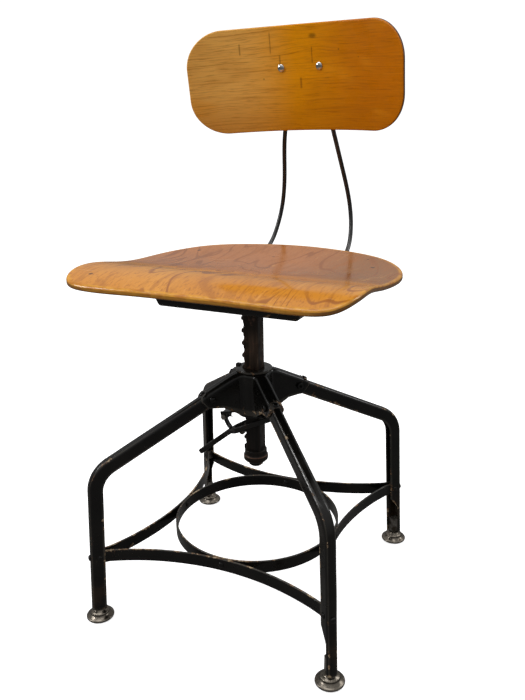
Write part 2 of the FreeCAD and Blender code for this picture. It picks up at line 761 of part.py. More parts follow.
def back_point(x, z, depth):
    """A point of the upright, untilted backrest, a given depth behind its front face."""
    angle = math.asin(x / back_curve)
    centre_y = back_front - back_curve
    reach = back_curve + depth
    return V(reach * math.sin(angle), centre_y + reach * math.cos(angle), z), math.degrees(angle)


def backrest_board():
    """The moulded plywood backrest: a curved sheet trimmed to a rounded outline."""
    low = back_middle - back_height / 2
    centre = V(0, back_front - back_curve, low)
    sheet = Part.makeCylinder(back_curve + back_thick, back_height, centre)
    sheet = sheet.cut(Part.makeCylinder(back_curve, back_height, centre))
    half = back_width / 2
    blank = Part.makeBox(back_width, 200, back_height, V(-half, back_front - 130, low))
    corners = [e for e in blank.Edges if abs(e.Vertexes[0].Y - e.Vertexes[1].Y) > 1]
    board = sheet.common(blank.makeFillet(back_corner, corners))
    for side in (-1, 1):
        start, angle = back_point(side * screw_x, screw_z, -5)
        end, angle = back_point(side * screw_x, screw_z, 20)
        board = board.cut(rod(start, end, 2.6))
    return tilt_back(board)


def rod_end(side):
    """The flattened end of a back rod, lying on the board's rear face."""
    place, angle = back_point(side * screw_x, screw_z, back_thick + 0.05)
    tab = Part.makeBox(12, 4.2, 40, V(-6, 0, screw_z - 31))
    corners = [e for e in tab.Edges if abs(e.Vertexes[0].Y - e.Vertexes[1].Y) > 1 and e.Vertexes[0].Z > screw_z]
    tab = tab.makeFillet(5.5, corners)
    tab.rotate(V(0, 0, screw_z), V(0, 0, 1), -angle)
    tab.translate(V(place.x, place.y, 0))
    start, angle = back_point(side * screw_x, screw_z, -5)
    end, angle = back_point(side * screw_x, screw_z, 25)
    return tilt_back(tab.cut(rod(start, end, 2.6)))


def back_rod(side):
    """A sprung round rod from the pan, round the seat's rear edge and up to the backrest."""
    points = [V(side * x, y, z) for x, y, z in rod_route]
    path = Part.BSplineCurve()
    path.interpolate(Points=points[1:], InitialTangent=V(0, 1, 0), FinalTangent=points[-1].sub(points[-2]).normalize())
    wire = Part.Wire([Part.makeLine(points[0], points[1]), path.toShape()])
    start = wire.Edges[0].valueAt(wire.Edges[0].FirstParameter)
    profile = Part.Wire(Part.makeCircle(rod_radius, start, wire.Edges[0].tangentAt(wire.Edges[0].FirstParameter)))
    body = wire.makePipeShell([profile], True, False)
    ball = Part.makeSphere(rod_radius, V(side * rod_route[-1][0], rod_route[-1][1], rod_route[-1][2]))
    return body.fuse(ball).fuse(rod_end(side))


def backrest_screw(side):
    """A chromed round-headed screw through the board and a rod's end."""
    face, angle = back_point(side * screw_x, screw_z, -0.08)
    inward, angle = back_point(side * screw_x, screw_z, -1)
    end, angle = back_point(side * screw_x, screw_z, back_thick + 10)
    shank = rod(face, end, 2.5)
    return tilt_back(shank.fuse(dome(face, inward.sub(face), 5.6, 3.0)))


def backrest_nut(side):
    """The hexagon nut behind a rod's end."""
    start, angle = back_point(side * screw_x, screw_z, back_thick + 4.3)
    corners = [V(4.9 * math.cos(math.radians(60 * k)), 0, screw_z + 4.9 * math.sin(math.radians(60 * k)))
               for k in range(6)]
    nut = prism(corners, V(0, 4.0, 0))
    nut.rotate(V(0, 0, screw_z), V(0, 0, 1), -angle)
    nut.translate(V(start.x, start.y, 0))
    end, angle = back_point(side * screw_x, screw_z, 40)
    near, angle = back_point(side * screw_x, screw_z, -5)
    return tilt_back(nut.cut(rod(near, end, 2.55)))


# ------------------------------------------------------------------ the assembly

def around(shape):
    """Four copies of a base part, one at each leg."""
    return group([turned(shape, azimuth + base_turn) for azimuth in leg_azimuths.values()])


def all_nodes():
    """Every node of the chair by name."""
    nodes = {}
    one_leg = leg()
    one_glide = glide()
    one_glide.translate(V(glide_radius(), 0, 0))
    for corner, azimuth in leg_azimuths.items():
        nodes["leg_" + corner] = turned(one_leg, azimuth + base_turn)
        nodes["glide_" + corner] = turned(one_glide, azimuth + base_turn)
    one_stretcher = stretcher()
    for side, azimuth in {"left": 0, "rear": 90, "right": 180, "front": 270}.items():
        nodes["stretcher_" + side] = turned(one_stretcher, azimuth + base_turn)
    nodes["foot_ring"] = foot_ring()
    nodes["ring_rivets"] = group([turned(ring_rivet(), 90 * k + base_turn) for k in range(4)])
    nodes["stretcher_rivets"] = around(stretcher_rivet())
    nodes["stretcher_blocks"] = around(stretcher_block())
    nodes["leg_bolts"] = around(leg_bolt())
    nodes["glide_sockets"] = around(glide_socket().cut(one_leg))
    nodes["hub_shell"] = hub_shell()
    nodes["hub_top_plate"] = hub_top_plate()
    nodes["hub_guide_sleeve"] = hub_guide_sleeve()
    nodes["hub_bottom_plate"] = hub_bottom_plate()
    nodes["hub_rivets"] = around(hub_rivet().cut(one_leg))
    nodes["hub_bolts"] = around(hub_bolt())
    nodes["lever_pivot_pin"] = pivot_pin()
    nodes["lever_spring"] = lever_spring()
    nodes["release_lever"] = release_lever()
    nodes["lever_hanger"] = lever_hanger()
    nodes["latch_bar"] = latch_bar()
    nodes["fork_end_pin"] = fork_end_pin()
    nodes["rack_post"] = tap_post_foot(rack_post())
    nodes["post_head"] = post_head()
    nodes["stop_collar"] = stop_collar()
    nodes["end_nut"] = end_nut()
    nodes["bearing_race_lower"] = race(post_top + head_cap + 0.02, 0.96)
    nodes["bearing_balls"] = bearing_balls()
    nodes["bearing_race_upper"] = race(post_top + head_cap + 4.02, 0.9)
    nodes["swivel_spindle"] = swivel_spindle()
    nodes["seat_pan"] = seat_pan()
    nodes["seat_board"] = drill_seat(seat_board())
    nodes["seat_spacers"] = seat_spacers()
    nodes["seat_screws"] = seat_screws()
    nodes["rod_clamps"] = rod_clamps()
    nodes["clamp_screws"] = clamp_screws()
    nodes["back_rod_left"] = back_rod(1)
    nodes["back_rod_right"] = back_rod(-1)
    nodes["backrest_board"] = backrest_board()
    nodes["backrest_screws"] = group([backrest_screw(side) for side in (-1, 1)])
    nodes["backrest_nuts"] = group([backrest_nut(side) for side in (-1, 1)])
    return nodes


os.makedirs("parts", exist_ok=True)
for name, shape in all_nodes().items():
    shape.translate(V(0, post_y, 0))
    shape.exportStep("parts/" + name + ".step")
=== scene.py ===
"""Drafting chair: moulded plywood seat and backrest on a toothed lifting post, with a four-legged base of
pressed channel, strap stretchers, a foot ring and swivel glides. All lengths in the functions are in mm."""
import json
import math

import bmesh
import bpy
import mathutils
import numpy as np
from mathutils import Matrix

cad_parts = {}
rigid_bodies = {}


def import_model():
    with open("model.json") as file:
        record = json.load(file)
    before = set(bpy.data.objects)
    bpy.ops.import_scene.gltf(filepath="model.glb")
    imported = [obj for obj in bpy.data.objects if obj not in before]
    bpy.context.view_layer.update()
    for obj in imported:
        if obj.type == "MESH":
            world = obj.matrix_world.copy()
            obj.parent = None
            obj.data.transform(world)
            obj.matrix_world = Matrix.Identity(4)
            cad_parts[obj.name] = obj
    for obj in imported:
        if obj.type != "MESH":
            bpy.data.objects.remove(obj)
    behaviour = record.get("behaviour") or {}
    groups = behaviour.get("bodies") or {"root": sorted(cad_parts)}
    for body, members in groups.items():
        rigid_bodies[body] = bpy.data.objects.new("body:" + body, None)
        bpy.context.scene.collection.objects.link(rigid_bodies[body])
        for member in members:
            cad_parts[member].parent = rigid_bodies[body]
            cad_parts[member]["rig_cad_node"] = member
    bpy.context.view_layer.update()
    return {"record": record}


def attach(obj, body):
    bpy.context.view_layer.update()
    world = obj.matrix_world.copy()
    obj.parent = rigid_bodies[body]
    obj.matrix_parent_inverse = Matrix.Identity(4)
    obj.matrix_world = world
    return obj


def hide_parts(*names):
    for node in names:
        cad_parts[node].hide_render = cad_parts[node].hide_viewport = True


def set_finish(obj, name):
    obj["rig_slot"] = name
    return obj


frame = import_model()

# ---- driving sizes, as in the CAD model
POST_Y = -19.0
BASE_TURN = 2.5
LEGS = {"front_right": 225, "front_left": 315, "rear_left": 45, "rear_right": 135}
SLOPE_TOP, KNEE_R, KNEE_Z, KNEE_BEND = 364.0, 248.0, 240.0, 45.0
FALL = math.atan2(SLOPE_TOP - KNEE_Z, KNEE_R)
STRAP_Z, STRAP_H, STRAP_T = 105.0, 20.0, 3.0
RING_R = 129.0
SEAT_OUTLINE = [(0, -180.5), (80, -181), (150, -182), (188, -172), (204, -140), (205, -90), (204, -8),
                (200, 72), (160, 133), (84, 163), (0, 172)]
SEAT_PROFILE = [(-190, 513), (-150, 525.5), (-100, 528), (-40, 518.5), (30, 511.5), (110, 513), (180, 521.5)]
SEAT_THICK = 7.5
BACK_W, BACK_H, BACK_CORNER, BACK_T, BACK_CURVE = 342.0, 150.0, 53.0, 8.5, 340.0
BACK_FRONT, BACK_MIDDLE, BACK_TILT, BACK_ROLL = 179.0, 771.0, 7.0, -1.2
SCREW_X, SCREW_Z = 31.0, 787.5
ROD_ROUTE = [(73, -40, 494), (73, 100, 494), (71.5, 170, 497), (68.7, 224, 521.5), (66.3, 236, 540),
             (61.7, 244.3, 570), (57.5, 243, 596), (50.8, 231, 638), (43, 215, 686), (31.8, 193.5, 759)]
TOOTH_PITCH, VALLEY_R, VALLEY_Z0 = 19.05, 6.5, 262.7
POST_FOOT, POST_TOP = 233.0, 465.0
PAN_FLOOR, PAN_KNEE = 471.5, 483.6


# ---- mesh helpers

def make_mesh(name, verts, faces, body, slot, replaces, attrs, sharp):
    """One finished piece from vertices in mm about the post axis and a list of face arrays."""
    verts = verts + [0, POST_Y, 0]
    mesh = bpy.data.meshes.new(name)
    mesh.from_pydata((verts * 0.001).tolist(), [], [list(map(int, f)) for block in faces for f in block])
    for key, values in attrs.items():
        layer = mesh.attributes.new(key, "FLOAT", "POINT")
        layer.data.foreach_set("value", np.asarray(values, np.float32).ravel())
    bm = bmesh.new()
    bm.from_mesh(mesh)
    bmesh.ops.remove_doubles(bm, verts=bm.verts, dist=1e-6)
    bmesh.ops.dissolve_degenerate(bm, edges=bm.edges, dist=1e-7)
    bmesh.ops.recalc_face_normals(bm, faces=bm.faces)
    bm.to_mesh(mesh)
    bm.free()
    mesh.polygons.foreach_set("use_smooth", np.ones(len(mesh.polygons), bool))
    if sharp:
        mesh.set_sharp_from_angle(angle=math.radians(sharp))
    obj = bpy.data.objects.new(name, mesh)
    bpy.context.scene.collection.objects.link(obj)
    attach(obj, body)
    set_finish(obj, slot)
    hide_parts(replaces)


def grid_faces(nu, nv, wrap_u, offset):
    """Quads of an nu by nv grid: vertex (i, j) is number offset + i * nv + j. The last column joins the first, and
    so does the last row when the rows wrap."""
    i = np.arange(nu if wrap_u else nu - 1)[:, None]
    j = np.arange(nv)[None, :]
    i2, j2 = (i + 1) % nu, (j + 1) % nv
    quads = xyz(i * nv + j, i2 * nv + j, i2 * nv + j2, i * nv + j2)
    return (quads + offset).reshape(-1, 4)


class Parts:
    """Several grids gathered into one piece."""

    def __init__(self):
        self.verts, self.faces, self.attrs, self.count = [], [], {}, 0

    def add(self, points, wrap_u=False, caps=True, **attrs):
        """Add a grid of points (nu, nv, 3). With caps, its first and last rows are closed by one face each."""
        nu, nv = points.shape[:2]
        self.verts.append(points.reshape(-1, 3))
        self.faces.append(grid_faces(nu, nv, wrap_u, self.count))
        if caps and not wrap_u:
            first = self.count + np.arange(nv)
            self.faces.append([first[::-1], first + (nu - 1) * nv])
        for key in sorted({*attrs, *self.attrs}):
            have = self.attrs.setdefault(key, [np.zeros(self.count)])
            have.append(np.broadcast_to(attrs.get(key, 0.0), (nu, nv)).reshape(-1))
        self.count += nu * nv
        return self

    def build(self, name, body, slot, replaces, sharp=None):
        attrs = {k: np.concatenate(v) for k, v in self.attrs.items()}
        make_mesh(name, np.concatenate(self.verts), self.faces, body, slot, replaces, attrs, sharp)


def turn_z(points, degrees):
    """Points turned about the post axis: (x cos a - y sin a, x sin a + y cos a, z)."""
    a = math.radians(degrees)
    c, s = math.cos(a), math.sin(a)
    x, y, z = points[..., 0], points[..., 1], points[..., 2]
    return xyz(x * c - y * s, x * s + y * c, z)


def xyz(*coords):
    """Points from their two or three coordinates, each an array or a number."""
    return np.stack(np.broadcast_arrays(*coords), -1)


def smooth(t):
    """The smooth step 3t^2 - 2t^3 of t held between 0 and 1."""
    t = np.clip(t, 0, 1)
    return t * t * (3 - 2 * t)


def unit(v):
    """Vectors brought to length one."""
    return v / np.maximum(np.linalg.norm(v, axis=-1, keepdims=True), 1e-9)


def waves(t, seed, size, period):
    """A gentle random wander of t: a sum of five sines of growing frequency and falling size."""
    rng = np.random.default_rng(seed)
    out = np.zeros_like(t)
    for k in range(1, 6):
        out = out + math.sqrt(1 / k) * np.sin(2 * math.pi * (k * t / period + rng.random()))
    return size * out / 2.5


def arc(cx, cy, r, start, end, n):
    """Points (cx + r cos a, cy + r sin a) for n angles from start to end in degrees."""
    a = np.radians(np.linspace(start, end, n))
    return xyz(cx + r * np.cos(a), cy + r * np.sin(a))


def line(start, stop, n):
    """n even points from start to stop."""
    start, stop = np.asarray(start, float), np.asarray(stop, float)
    return start + (stop - start) * np.linspace(0, 1, n)[:, None]


def rounded_rect(hx, hy, r, n=6, straight=4):
    """A closed outline: straight sides of a 2hx by 2hy rectangle joined by quarter circles of radius r."""
    corners = [(hx - r, hy - r, 0), (r - hx, hy - r, 90), (r - hx, r - hy, 180), (hx - r, r - hy, 270)]
    quarters = [arc(x, y, r, a, a + 90, n) for x, y, a in corners]
    parts = []
    for quarter, following in zip(quarters, quarters[1:] + quarters[:1]):
        parts += [quarter, line(quarter[-1], following[0], straight + 2)[1:-1]]
    return np.concatenate(parts)


def normals_2d(outline):
    """Outward unit normals of a closed counter-clockwise outline, from its neighbours' difference."""
    d = unit(np.roll(outline, -1, 0) - np.roll(outline, 1, 0))
    return xyz(d[:, 1], -d[:, 0])


def around_outline(outline, profile):
    """A profile carried round an outline: row k is the outline moved inwards by inset_k at height z_k."""
    inset, z = np.asarray(profile, float).T[:, :, None]
    n = normals_2d(outline)
    return xyz(outline[:, 0] - n[:, 0] * inset, outline[:, 1] - n[:, 1] * inset, z)


def lathe(profile, n=64):
    """A profile of (radius, height) turned about the vertical axis: (r cos a, r sin a, z)."""
    profile = np.asarray(profile, float)
    a = np.linspace(0, 2 * math.pi, n, endpoint=False)
    r, z = profile[:, :1], profile[:, 1:]
    return xyz(r * np.cos(a), r * np.sin(a), z)


def aim(points, origin, axis):
    """Points whose own Z is laid along axis, moved to origin."""
    w = unit(np.asarray(axis, float))
    side = np.array([0.0, 0.0, 1.0]) if abs(w[2]) < 0.9 else np.array([1.0, 0.0, 0.0])
    u = unit(np.cross(side, w))
    v = np.cross(w, u)
    return np.asarray(origin, float) + points[..., :1] * u + points[..., 1:2] * v + points[..., 2:] * w


def dome_profile(radius, height, foot=0.35, n=9):
    """A domed head: r cos t, h sin t from the foot to the pole, standing on a short skirt."""
    t = np.radians(np.linspace(0, 90, n))
    top = xyz(np.maximum(radius * np.cos(t) ** 0.85, 0.01), foot + (height - foot) * np.sin(t))
    return np.concatenate([[[0.01, -0.3], [radius * 0.98, -0.3], [radius, 0.0]], top])


def periodic_spline(points, n):
    """A closed cubic spline through points, its parameter growing with the chords, at n even parameters."""
    p = np.asarray(points, float)
    h = np.linalg.norm(np.roll(p, -1, 0) - p, axis=1)
    m = len(p)
    a = np.zeros((m, m))
    i = np.arange(m)
    a[i, i] = 2 * (h + np.roll(h, 1))
    a[i, (i + 1) % m] += h
    a[i, (i - 1) % m] += np.roll(h, 1)
    slope = (np.roll(p, -1, 0) - p) / h[:, None]
    second = np.linalg.solve(a, 6 * (slope - np.roll(slope, 1, 0)))
    t = np.concatenate([[0], np.cumsum(h)])
    u = np.linspace(0, t[-1], n, endpoint=False)
    k = np.clip(np.searchsorted(t, u, side="right") - 1, 0, m - 1)
    return spline_value(p[k], p[(k + 1) % m], second[k], second[(k + 1) % m], h[k], u - t[k])


def spline_value(p0, p1, s0, s1, h, x):
    """Cubic between p0 and p1 with second derivatives s0 and s1 over a step h, at distance x."""
    h, x = h[:, None], x[:, None]
    y = h - x
    return (s0 * y ** 3 + s1 * x ** 3) / (6 * h) + (p0 / h - s0 * h / 6) * y + (p1 / h - s1 * h / 6) * x


def open_spline(points, u=None, n=None):
    """An open cubic spline through points with ends that keep the third derivative of their neighbours.
    Returns its points at the parameters u, or at n even ones."""
    p = np.asarray(points, float)
    h = np.linalg.norm(np.diff(p, axis=0), axis=1)
    m = len(p)
    a = np.zeros((m, m))
    b = np.zeros_like(p)
    i = np.arange(1, m - 1)
    a[i, i - 1], a[i, i], a[i, i + 1] = h[:-1], 2 * (h[:-1] + h[1:]), h[1:]
    slope = np.diff(p, axis=0) / h[:, None]
    b[1:-1] = 6 * np.diff(slope, axis=0)
    a[0, 0], a[0, 1] = 1, -1
    a[-1, -1], a[-1, -2] = 1, -1
    second = np.linalg.solve(a, b)
    t = np.concatenate([[0], np.cumsum(h)])
    if u is None:
        u = np.linspace(0, t[-1], n)
    k = np.clip(np.searchsorted(t, u, side="right") - 1, 0, m - 2)
    return spline_value(p[k], p[k + 1], second[k], second[k + 1], h[k], u - t[k])


def sweep(path, width_dir, sections):
    """A section carried along a path: point (a, b) of section i goes to path_i + a W + b N, where W is the
    width direction made square to the path and N = T x W."""
    path = np.asarray(path, float)
    t = unit(np.gradient(path, axis=0))
    w = np.broadcast_to(np.asarray(width_dir, float), path.shape)
    w = unit(w - t * np.sum(w * t, -1, keepdims=True))
    n = np.cross(t, w)
    return path[:, None] + sections[..., :1] * w[:, None] + sections[..., 1:2] * n[:, None]


# ---- node material helpers

class Nodes:
    """A small wrapper that makes shader nodes and links them by socket name."""

    def __init__(self, name):
        self.mat = bpy.data.materials.new(name)
        self.mat.use_nodes = True
        self.tree = self.mat.node_tree
        self.tree.nodes.clear()
        self.bsdf = self.new("BsdfPrincipled")
        self.link(self.bsdf.outputs[0], self.new("OutputMaterial").inputs[0])
        self.coord = self.new("TexCoord").outputs["Object"]

    def new(self, kind):
        return self.tree.nodes.new("ShaderNode" + kind)

    def link(self, a, b):
        self.tree.links.new(a, b)

    def put(self, socket, value):
        if hasattr(value, "is_output"):
            self.link(value, socket)
        else:
            socket.default_value = value

    def set(self, **values):
        for key, value in values.items():
            self.put(self.bsdf.inputs[key.replace("_", " ")], value)

    def place(self, stretch, turn=(0, 0, 0), shift=(0, 0, 0), vector=None):
        """The texture place: the given vector, or the object's own, stretched, turned and shifted."""
        if stretch is None:
            return vector or self.coord
        n = self.new("Mapping")
        self.link(vector or self.coord, n.inputs["Vector"])
        for key, value in (("Scale", stretch), ("Rotation", [math.radians(a) for a in turn]), ("Location", shift)):
            n.inputs[key].default_value = value
        return n.outputs[0]

    def noise(self, scale, detail=3.0, rough=0.55, distort=0.0, stretch=None, **where):
        n = self.new("TexNoise")
        self.link(self.place(stretch, **where), n.inputs["Vector"])
        for key, value in (("Scale", scale), ("Detail", detail), ("Roughness", rough), ("Distortion", distort)):
            n.inputs[key].default_value = value
        return n.outputs["Fac"]

    def cells(self, scale, stretch=None, **where):
        """Distance to the nearest of many scattered points."""
        n = self.new("TexVoronoi")
        self.link(self.place(stretch, **where), n.inputs["Vector"])
        n.inputs["Scale"].default_value = scale
        return n.outputs["Distance"]

    def attr(self, name):
        n = self.new("Attribute")
        n.attribute_name = name
        return n.outputs["Fac"]

    def math(self, op, a, b=0.0):
        n = self.new("Math")
        n.operation = op
        for socket, value in zip(n.inputs, (a, b)):
            self.put(socket, value)
        return n.outputs[0]

    def times(self, a, b):
        return self.math("MULTIPLY", a, b)

    def plus(self, a, b):
        return self.math("ADD", a, b)

    def minus(self, a, b):
        return self.math("SUBTRACT", a, b)

    def away(self, x, y, px, py, squash=1.0):
        """Distance of (x, y) from (px, py), the second direction weighed by squash."""
        dx, dy = self.math("POWER", self.minus(x, px), 2), self.math("POWER", self.minus(y, py), 2)
        return self.math("SQRT", self.plus(dx, dy if squash == 1.0 else self.times(dy, squash)))

    def ramp(self, fac, low, high, a=0.0, b=1.0):
        """Smooth climb of fac from low to high, given as a to b."""
        n = self.new("MapRange")
        n.interpolation_type = "SMOOTHSTEP"
        for socket, value in zip(n.inputs, (fac, low, high, a, b)):
            self.put(socket, value)
        return n.outputs[0]

    def mix(self, fac, a, b):
        """Colour a turning into colour b by the share fac. A colour is a socket or three linear numbers."""
        n = self.new("Mix")
        n.data_type = "RGBA"
        self.put(n.inputs[0], fac)
        self.put(n.inputs[6], a if hasattr(a, "is_output") else (*a, 1))
        self.put(n.inputs[7], b if hasattr(b, "is_output") else (*b, 1))
        return n.outputs[2]

    def stain(self, tone, fac, low, high, share, colour):
        """The tone turning into a colour, up to a share of it, as fac climbs from low to high."""
        return self.mix(self.ramp(fac, low, high, 0, share), tone, colour)

    def split(self):
        n = self.new("SeparateXYZ")
        self.link(self.coord, n.inputs[0])
        return n.outputs

    def join(self, x, y, z):
        n = self.new("CombineXYZ")
        for socket, value in zip(n.inputs, (x, y, z)):
            self.put(socket, value)
        return n.outputs[0]

    def bump(self, height, strength, distance, normal=None):
        n = self.new("Bump")
        n.inputs["Strength"].default_value = strength
        n.inputs["Distance"].default_value = distance
        self.put(n.inputs["Height"], height)
        if normal is not None:
            self.link(normal, n.inputs["Normal"])
        return n.outputs[0]


def srgb(r, g, b):
    """Linear colour of an 8-bit display colour."""
    c = np.array([r, g, b]) / 255.0
    return tuple(np.where(c <= 0.04045, c / 12.92, ((c + 0.055) / 1.055) ** 2.4))


# ---- boards

def seat_z(y):
    """Height of the seat's upper face at a distance behind the post: a cubic spline through the side profile."""
    p = np.asarray(SEAT_PROFILE, float)
    u = np.linspace(0, np.linalg.norm(np.diff(p, axis=0), axis=1).sum(), 700)
    curve = open_spline(p, u)
    return np.interp(y, curve[:, 0], curve[:, 1])


def board_rows(thick, soft_top, soft_low):
    """(share of the way to the outline, inset from it, height) for the rows of a board from the middle of its
    upper face, over its rounded edge, to the middle of its lower face."""
    inner = [(s, 0.0, 0.0) for s in np.linspace(0.0, 1.0, 46)[:-1]]
    t = np.radians(np.linspace(0, 90, 9))
    upper = [(1.0, soft_top * (1 - math.sin(a)), -soft_top * 0.9 * (1 - math.cos(a))) for a in t]
    lower = [(1.0, soft_low * (1 - math.cos(a)), -thick + soft_low * (1 - math.sin(a))) for a in t]
    side = [(1.0, 0.0, z) for z in np.linspace(upper[-1][2], lower[0][2], 5)[1:-1]]
    back = [(s, 0.0, -thick) for s in np.linspace(1.0, 0.0, 24)[1:]]
    return np.array(inner), np.array(upper + side + lower), np.array(back)


def board_points(outline, thick, soft_top, soft_low):
    """Plan position, depth below the upper face and edge weight of every vertex of a board. Inner rows shrink
    the inset outline towards the middle; edge rows follow the outline itself."""
    inner, edge, back = board_rows(thick, soft_top, soft_low)
    n = normals_2d(outline)
    top_rim, low_rim = outline - n * soft_top, outline - n * soft_low
    centre = outline.mean(0)
    rows_in = centre + (top_rim - centre)[None] * inner[:, :1, None]
    rows_edge = outline[None] - n[None] * edge[:, 1][:, None, None]
    rows_back = centre + (low_rim - centre)[None] * back[:, :1, None]
    xy = np.concatenate([rows_in, rows_edge, rows_back])
    depth = np.concatenate([inner[:, 2], edge[:, 2], back[:, 2]])
    weight = np.concatenate([smooth((inner[:, 0] - 0.955) / 0.045) * 0.5, np.ones(len(edge)), np.zeros(len(back))])
    return xy, depth, weight


def seat_board():
    """The moulded seat: its plan outline carried over a rounded edge onto the side profile z(y)."""
    outline = periodic_spline(SEAT_OUTLINE + [(-x, y) for x, y in SEAT_OUTLINE[-2:0:-1]], 420)
    xy, depth, weight = board_points(outline, SEAT_THICK, 3.0, 1.6)
    points = xyz(xy[..., 0], xy[..., 1], seat_z(xy[..., 1]) + depth[:, None])
    Parts().add(points, edge=weight[:, None], depth=-depth[:, None] / SEAT_THICK).build(
        "seat_board_shaped", "swivel_seat", "seat_plywood", "seat_board")


def lean(points):
    """Backrest points turned by its roll and its tilt about the board's middle."""
    middle = np.array([0, BACK_FRONT, BACK_MIDDLE])
    x, y, z = np.moveaxis(points - middle, -1, 0)
    a, b = math.radians(BACK_ROLL), math.radians(BACK_TILT)
    x, z = x * math.cos(a) + z * math.sin(a), -x * math.sin(a) + z * math.cos(a)
    y, z = y * math.cos(b) - z * math.sin(b), y * math.sin(b) + z * math.cos(b)
    return xyz(x, y, z) + middle


def backrest_board():
    """The curved backrest: a rounded rectangle laid on a cylinder of radius R, y = sqrt((R + d)^2 - x^2) - R."""
    outline = rounded_rect(BACK_W / 2, BACK_H / 2, BACK_CORNER, 40, 60)
    xz, depth, weight = board_points(outline, BACK_T, 2.0, 2.0)
    x = xz[..., 0]
    y = BACK_FRONT - BACK_CURVE + np.sqrt((BACK_CURVE - depth[:, None]) ** 2 - x ** 2)
    points = lean(xyz(x, y, BACK_MIDDLE + xz[..., 1]))
    Parts().add(points, edge=weight[:, None], depth=-depth[:, None] / BACK_T, wide=x, high=xz[..., 1]).build(
        "backrest_board_shaped", "swivel_seat", "back_plywood", "backrest_board")


# ---- legs

def slope_z(r):
    """Height of a leg's slope at a radius."""
    return SLOPE_TOP - r * (SLOPE_TOP - KNEE_Z) / KNEE_R


def leg_r(z):
    """Radius of a leg's upright part at a height."""
    return KNEE_R + 15.0 * (KNEE_Z - z) / KNEE_Z


def leg_path():
    """Centre line of a leg in its own radial plane and the direction square to it, outwards: a slope, an arc of
    radius 45 at the knee and a nearly upright part."""
    along = np.array([math.cos(FALL), -math.sin(FALL)])
    down = unit(np.array([15.0, -KNEE_Z]))
    knee = np.array([KNEE_R, KNEE_Z])
    turn = math.acos(float(along @ down))
    reach = KNEE_BEND * math.tan(turn / 2)
    start, stop = knee - along * reach, knee + down * reach
    top = np.array([34.0, slope_z(34.0)])
    foot = np.array([leg_r(16.0), 16.0])
    a0 = math.atan2(math.cos(FALL), math.sin(FALL))
    a = a0 - np.linspace(0, turn, 26)[1:-1]
    centre = start - np.array([math.sin(FALL), math.cos(FALL)]) * KNEE_BEND
    bend = centre + KNEE_BEND * xyz(np.cos(a), np.sin(a))
    path = np.concatenate([line(top, start, 60), bend, line(stop, foot, 120)])
    t = unit(np.gradient(path, axis=0))
    return path, xyz(-t[:, 1], t[:, 0])


def channel():
    """The U section as a closed outline of (side, out), with rounded lips, counted along the outer face first."""
    half, back, wall, outer, inner, lip = 8.0, 10.5, 2.0, 6.0, 4.0, 1.0
    hi, bi, low = half - wall, back - wall, 0.8 - back
    side = np.linspace(low, back - outer, 9)[:-1]
    inside = np.linspace(low, bi - inner, 8)[1:]
    return np.concatenate([
        xyz(half, side), arc(half - outer, back - outer, outer, 0, 90, 12),
        xyz(np.linspace(half - outer, outer - half, 5)[1:-1], back),
        arc(outer - half, back - outer, outer, 90, 180, 12),
        xyz(-half, side[::-1]), arc(lip - half, low, lip, 180, 360, 7)[1:],
        xyz(-hi, inside), arc(inner - hi, bi - inner, inner, 180, 90, 8)[1:],
        xyz(np.linspace(inner - hi, hi - inner, 4)[1:-1], bi), arc(hi - inner, bi - inner, inner, 90, 0, 8),
        xyz(hi, np.linspace(bi - inner, low, 8)[1:]), arc(half - lip, low, lip, 180, 360, 7)[1:-1]])


def flange_floor(z):
    """How far out the cut flange starts at a height: nothing cut above 91, then a slope, then nearly all."""
    line = np.interp(z, [0, 65, 91], [leg_r(60) + 7.0, leg_r(60) + 4.5, leg_r(96) - 12.5])
    return np.clip(line - leg_r(z), -10.5, 4.0)


def leg(corner, azimuth):
    """A channel section carried along the bent centre line, one of its flanges squeezed outwards to its cut."""
    path, out_dir = leg_path()
    sec = channel()
    side, out = sec[:, 0], sec[:, 1]
    lip = smooth((-out - 3.0) / 7.0)
    n = len(path)
    floor = np.where(path[:, 1] < 92, flange_floor(path[:, 1]), -10.5)[:, None]
    flange = (side < -5.9) & (out < 4.6)
    low = np.broadcast_to(out, (n, len(out))).copy()
    low[:, flange] = floor + (out[flange] + 10.5) * (4.6 - floor) / 15.1
    s = np.linspace(0, 1, n)[:, None]
    wander = waves(s, int(azimuth), 0.22, 1.0)
    r = path[:, :1] + out_dir[:, :1] * low
    z = path[:, 1:] + out_dir[:, 1:] * low
    points = xyz(r, side + wander, z)
    # edge weight: the flange lips and the leg's ends get paint chips; the band on the outer face's rounded corners
    # gives a painted highlight line as well as chips
    wear_and_highlight = np.maximum(lip[None] * 0.9, 0.75 * np.exp(-((out[None] - 8.8) / 1.6) ** 2) * (np.abs(side[None]) > 3))
    ends = smooth((0.03 - s) / 0.03) + smooth((s - 0.985) / 0.015)
    wear_and_highlight = np.clip(wear_and_highlight + ends, 0, 1)
    Parts().add(turn_z(points, azimuth + BASE_TURN), edge=wear_and_highlight, low=smooth((130 - z) / 110)).build(
        "leg_%s_shaped" % corner, "base", "black_paint", "leg_" + corner)


# ---- straps

def strap_section():
    """The flat bar with rounded edges, as (across, up)."""
    return rounded_rect(STRAP_T / 2, STRAP_H / 2, 1.15, 5, 5)


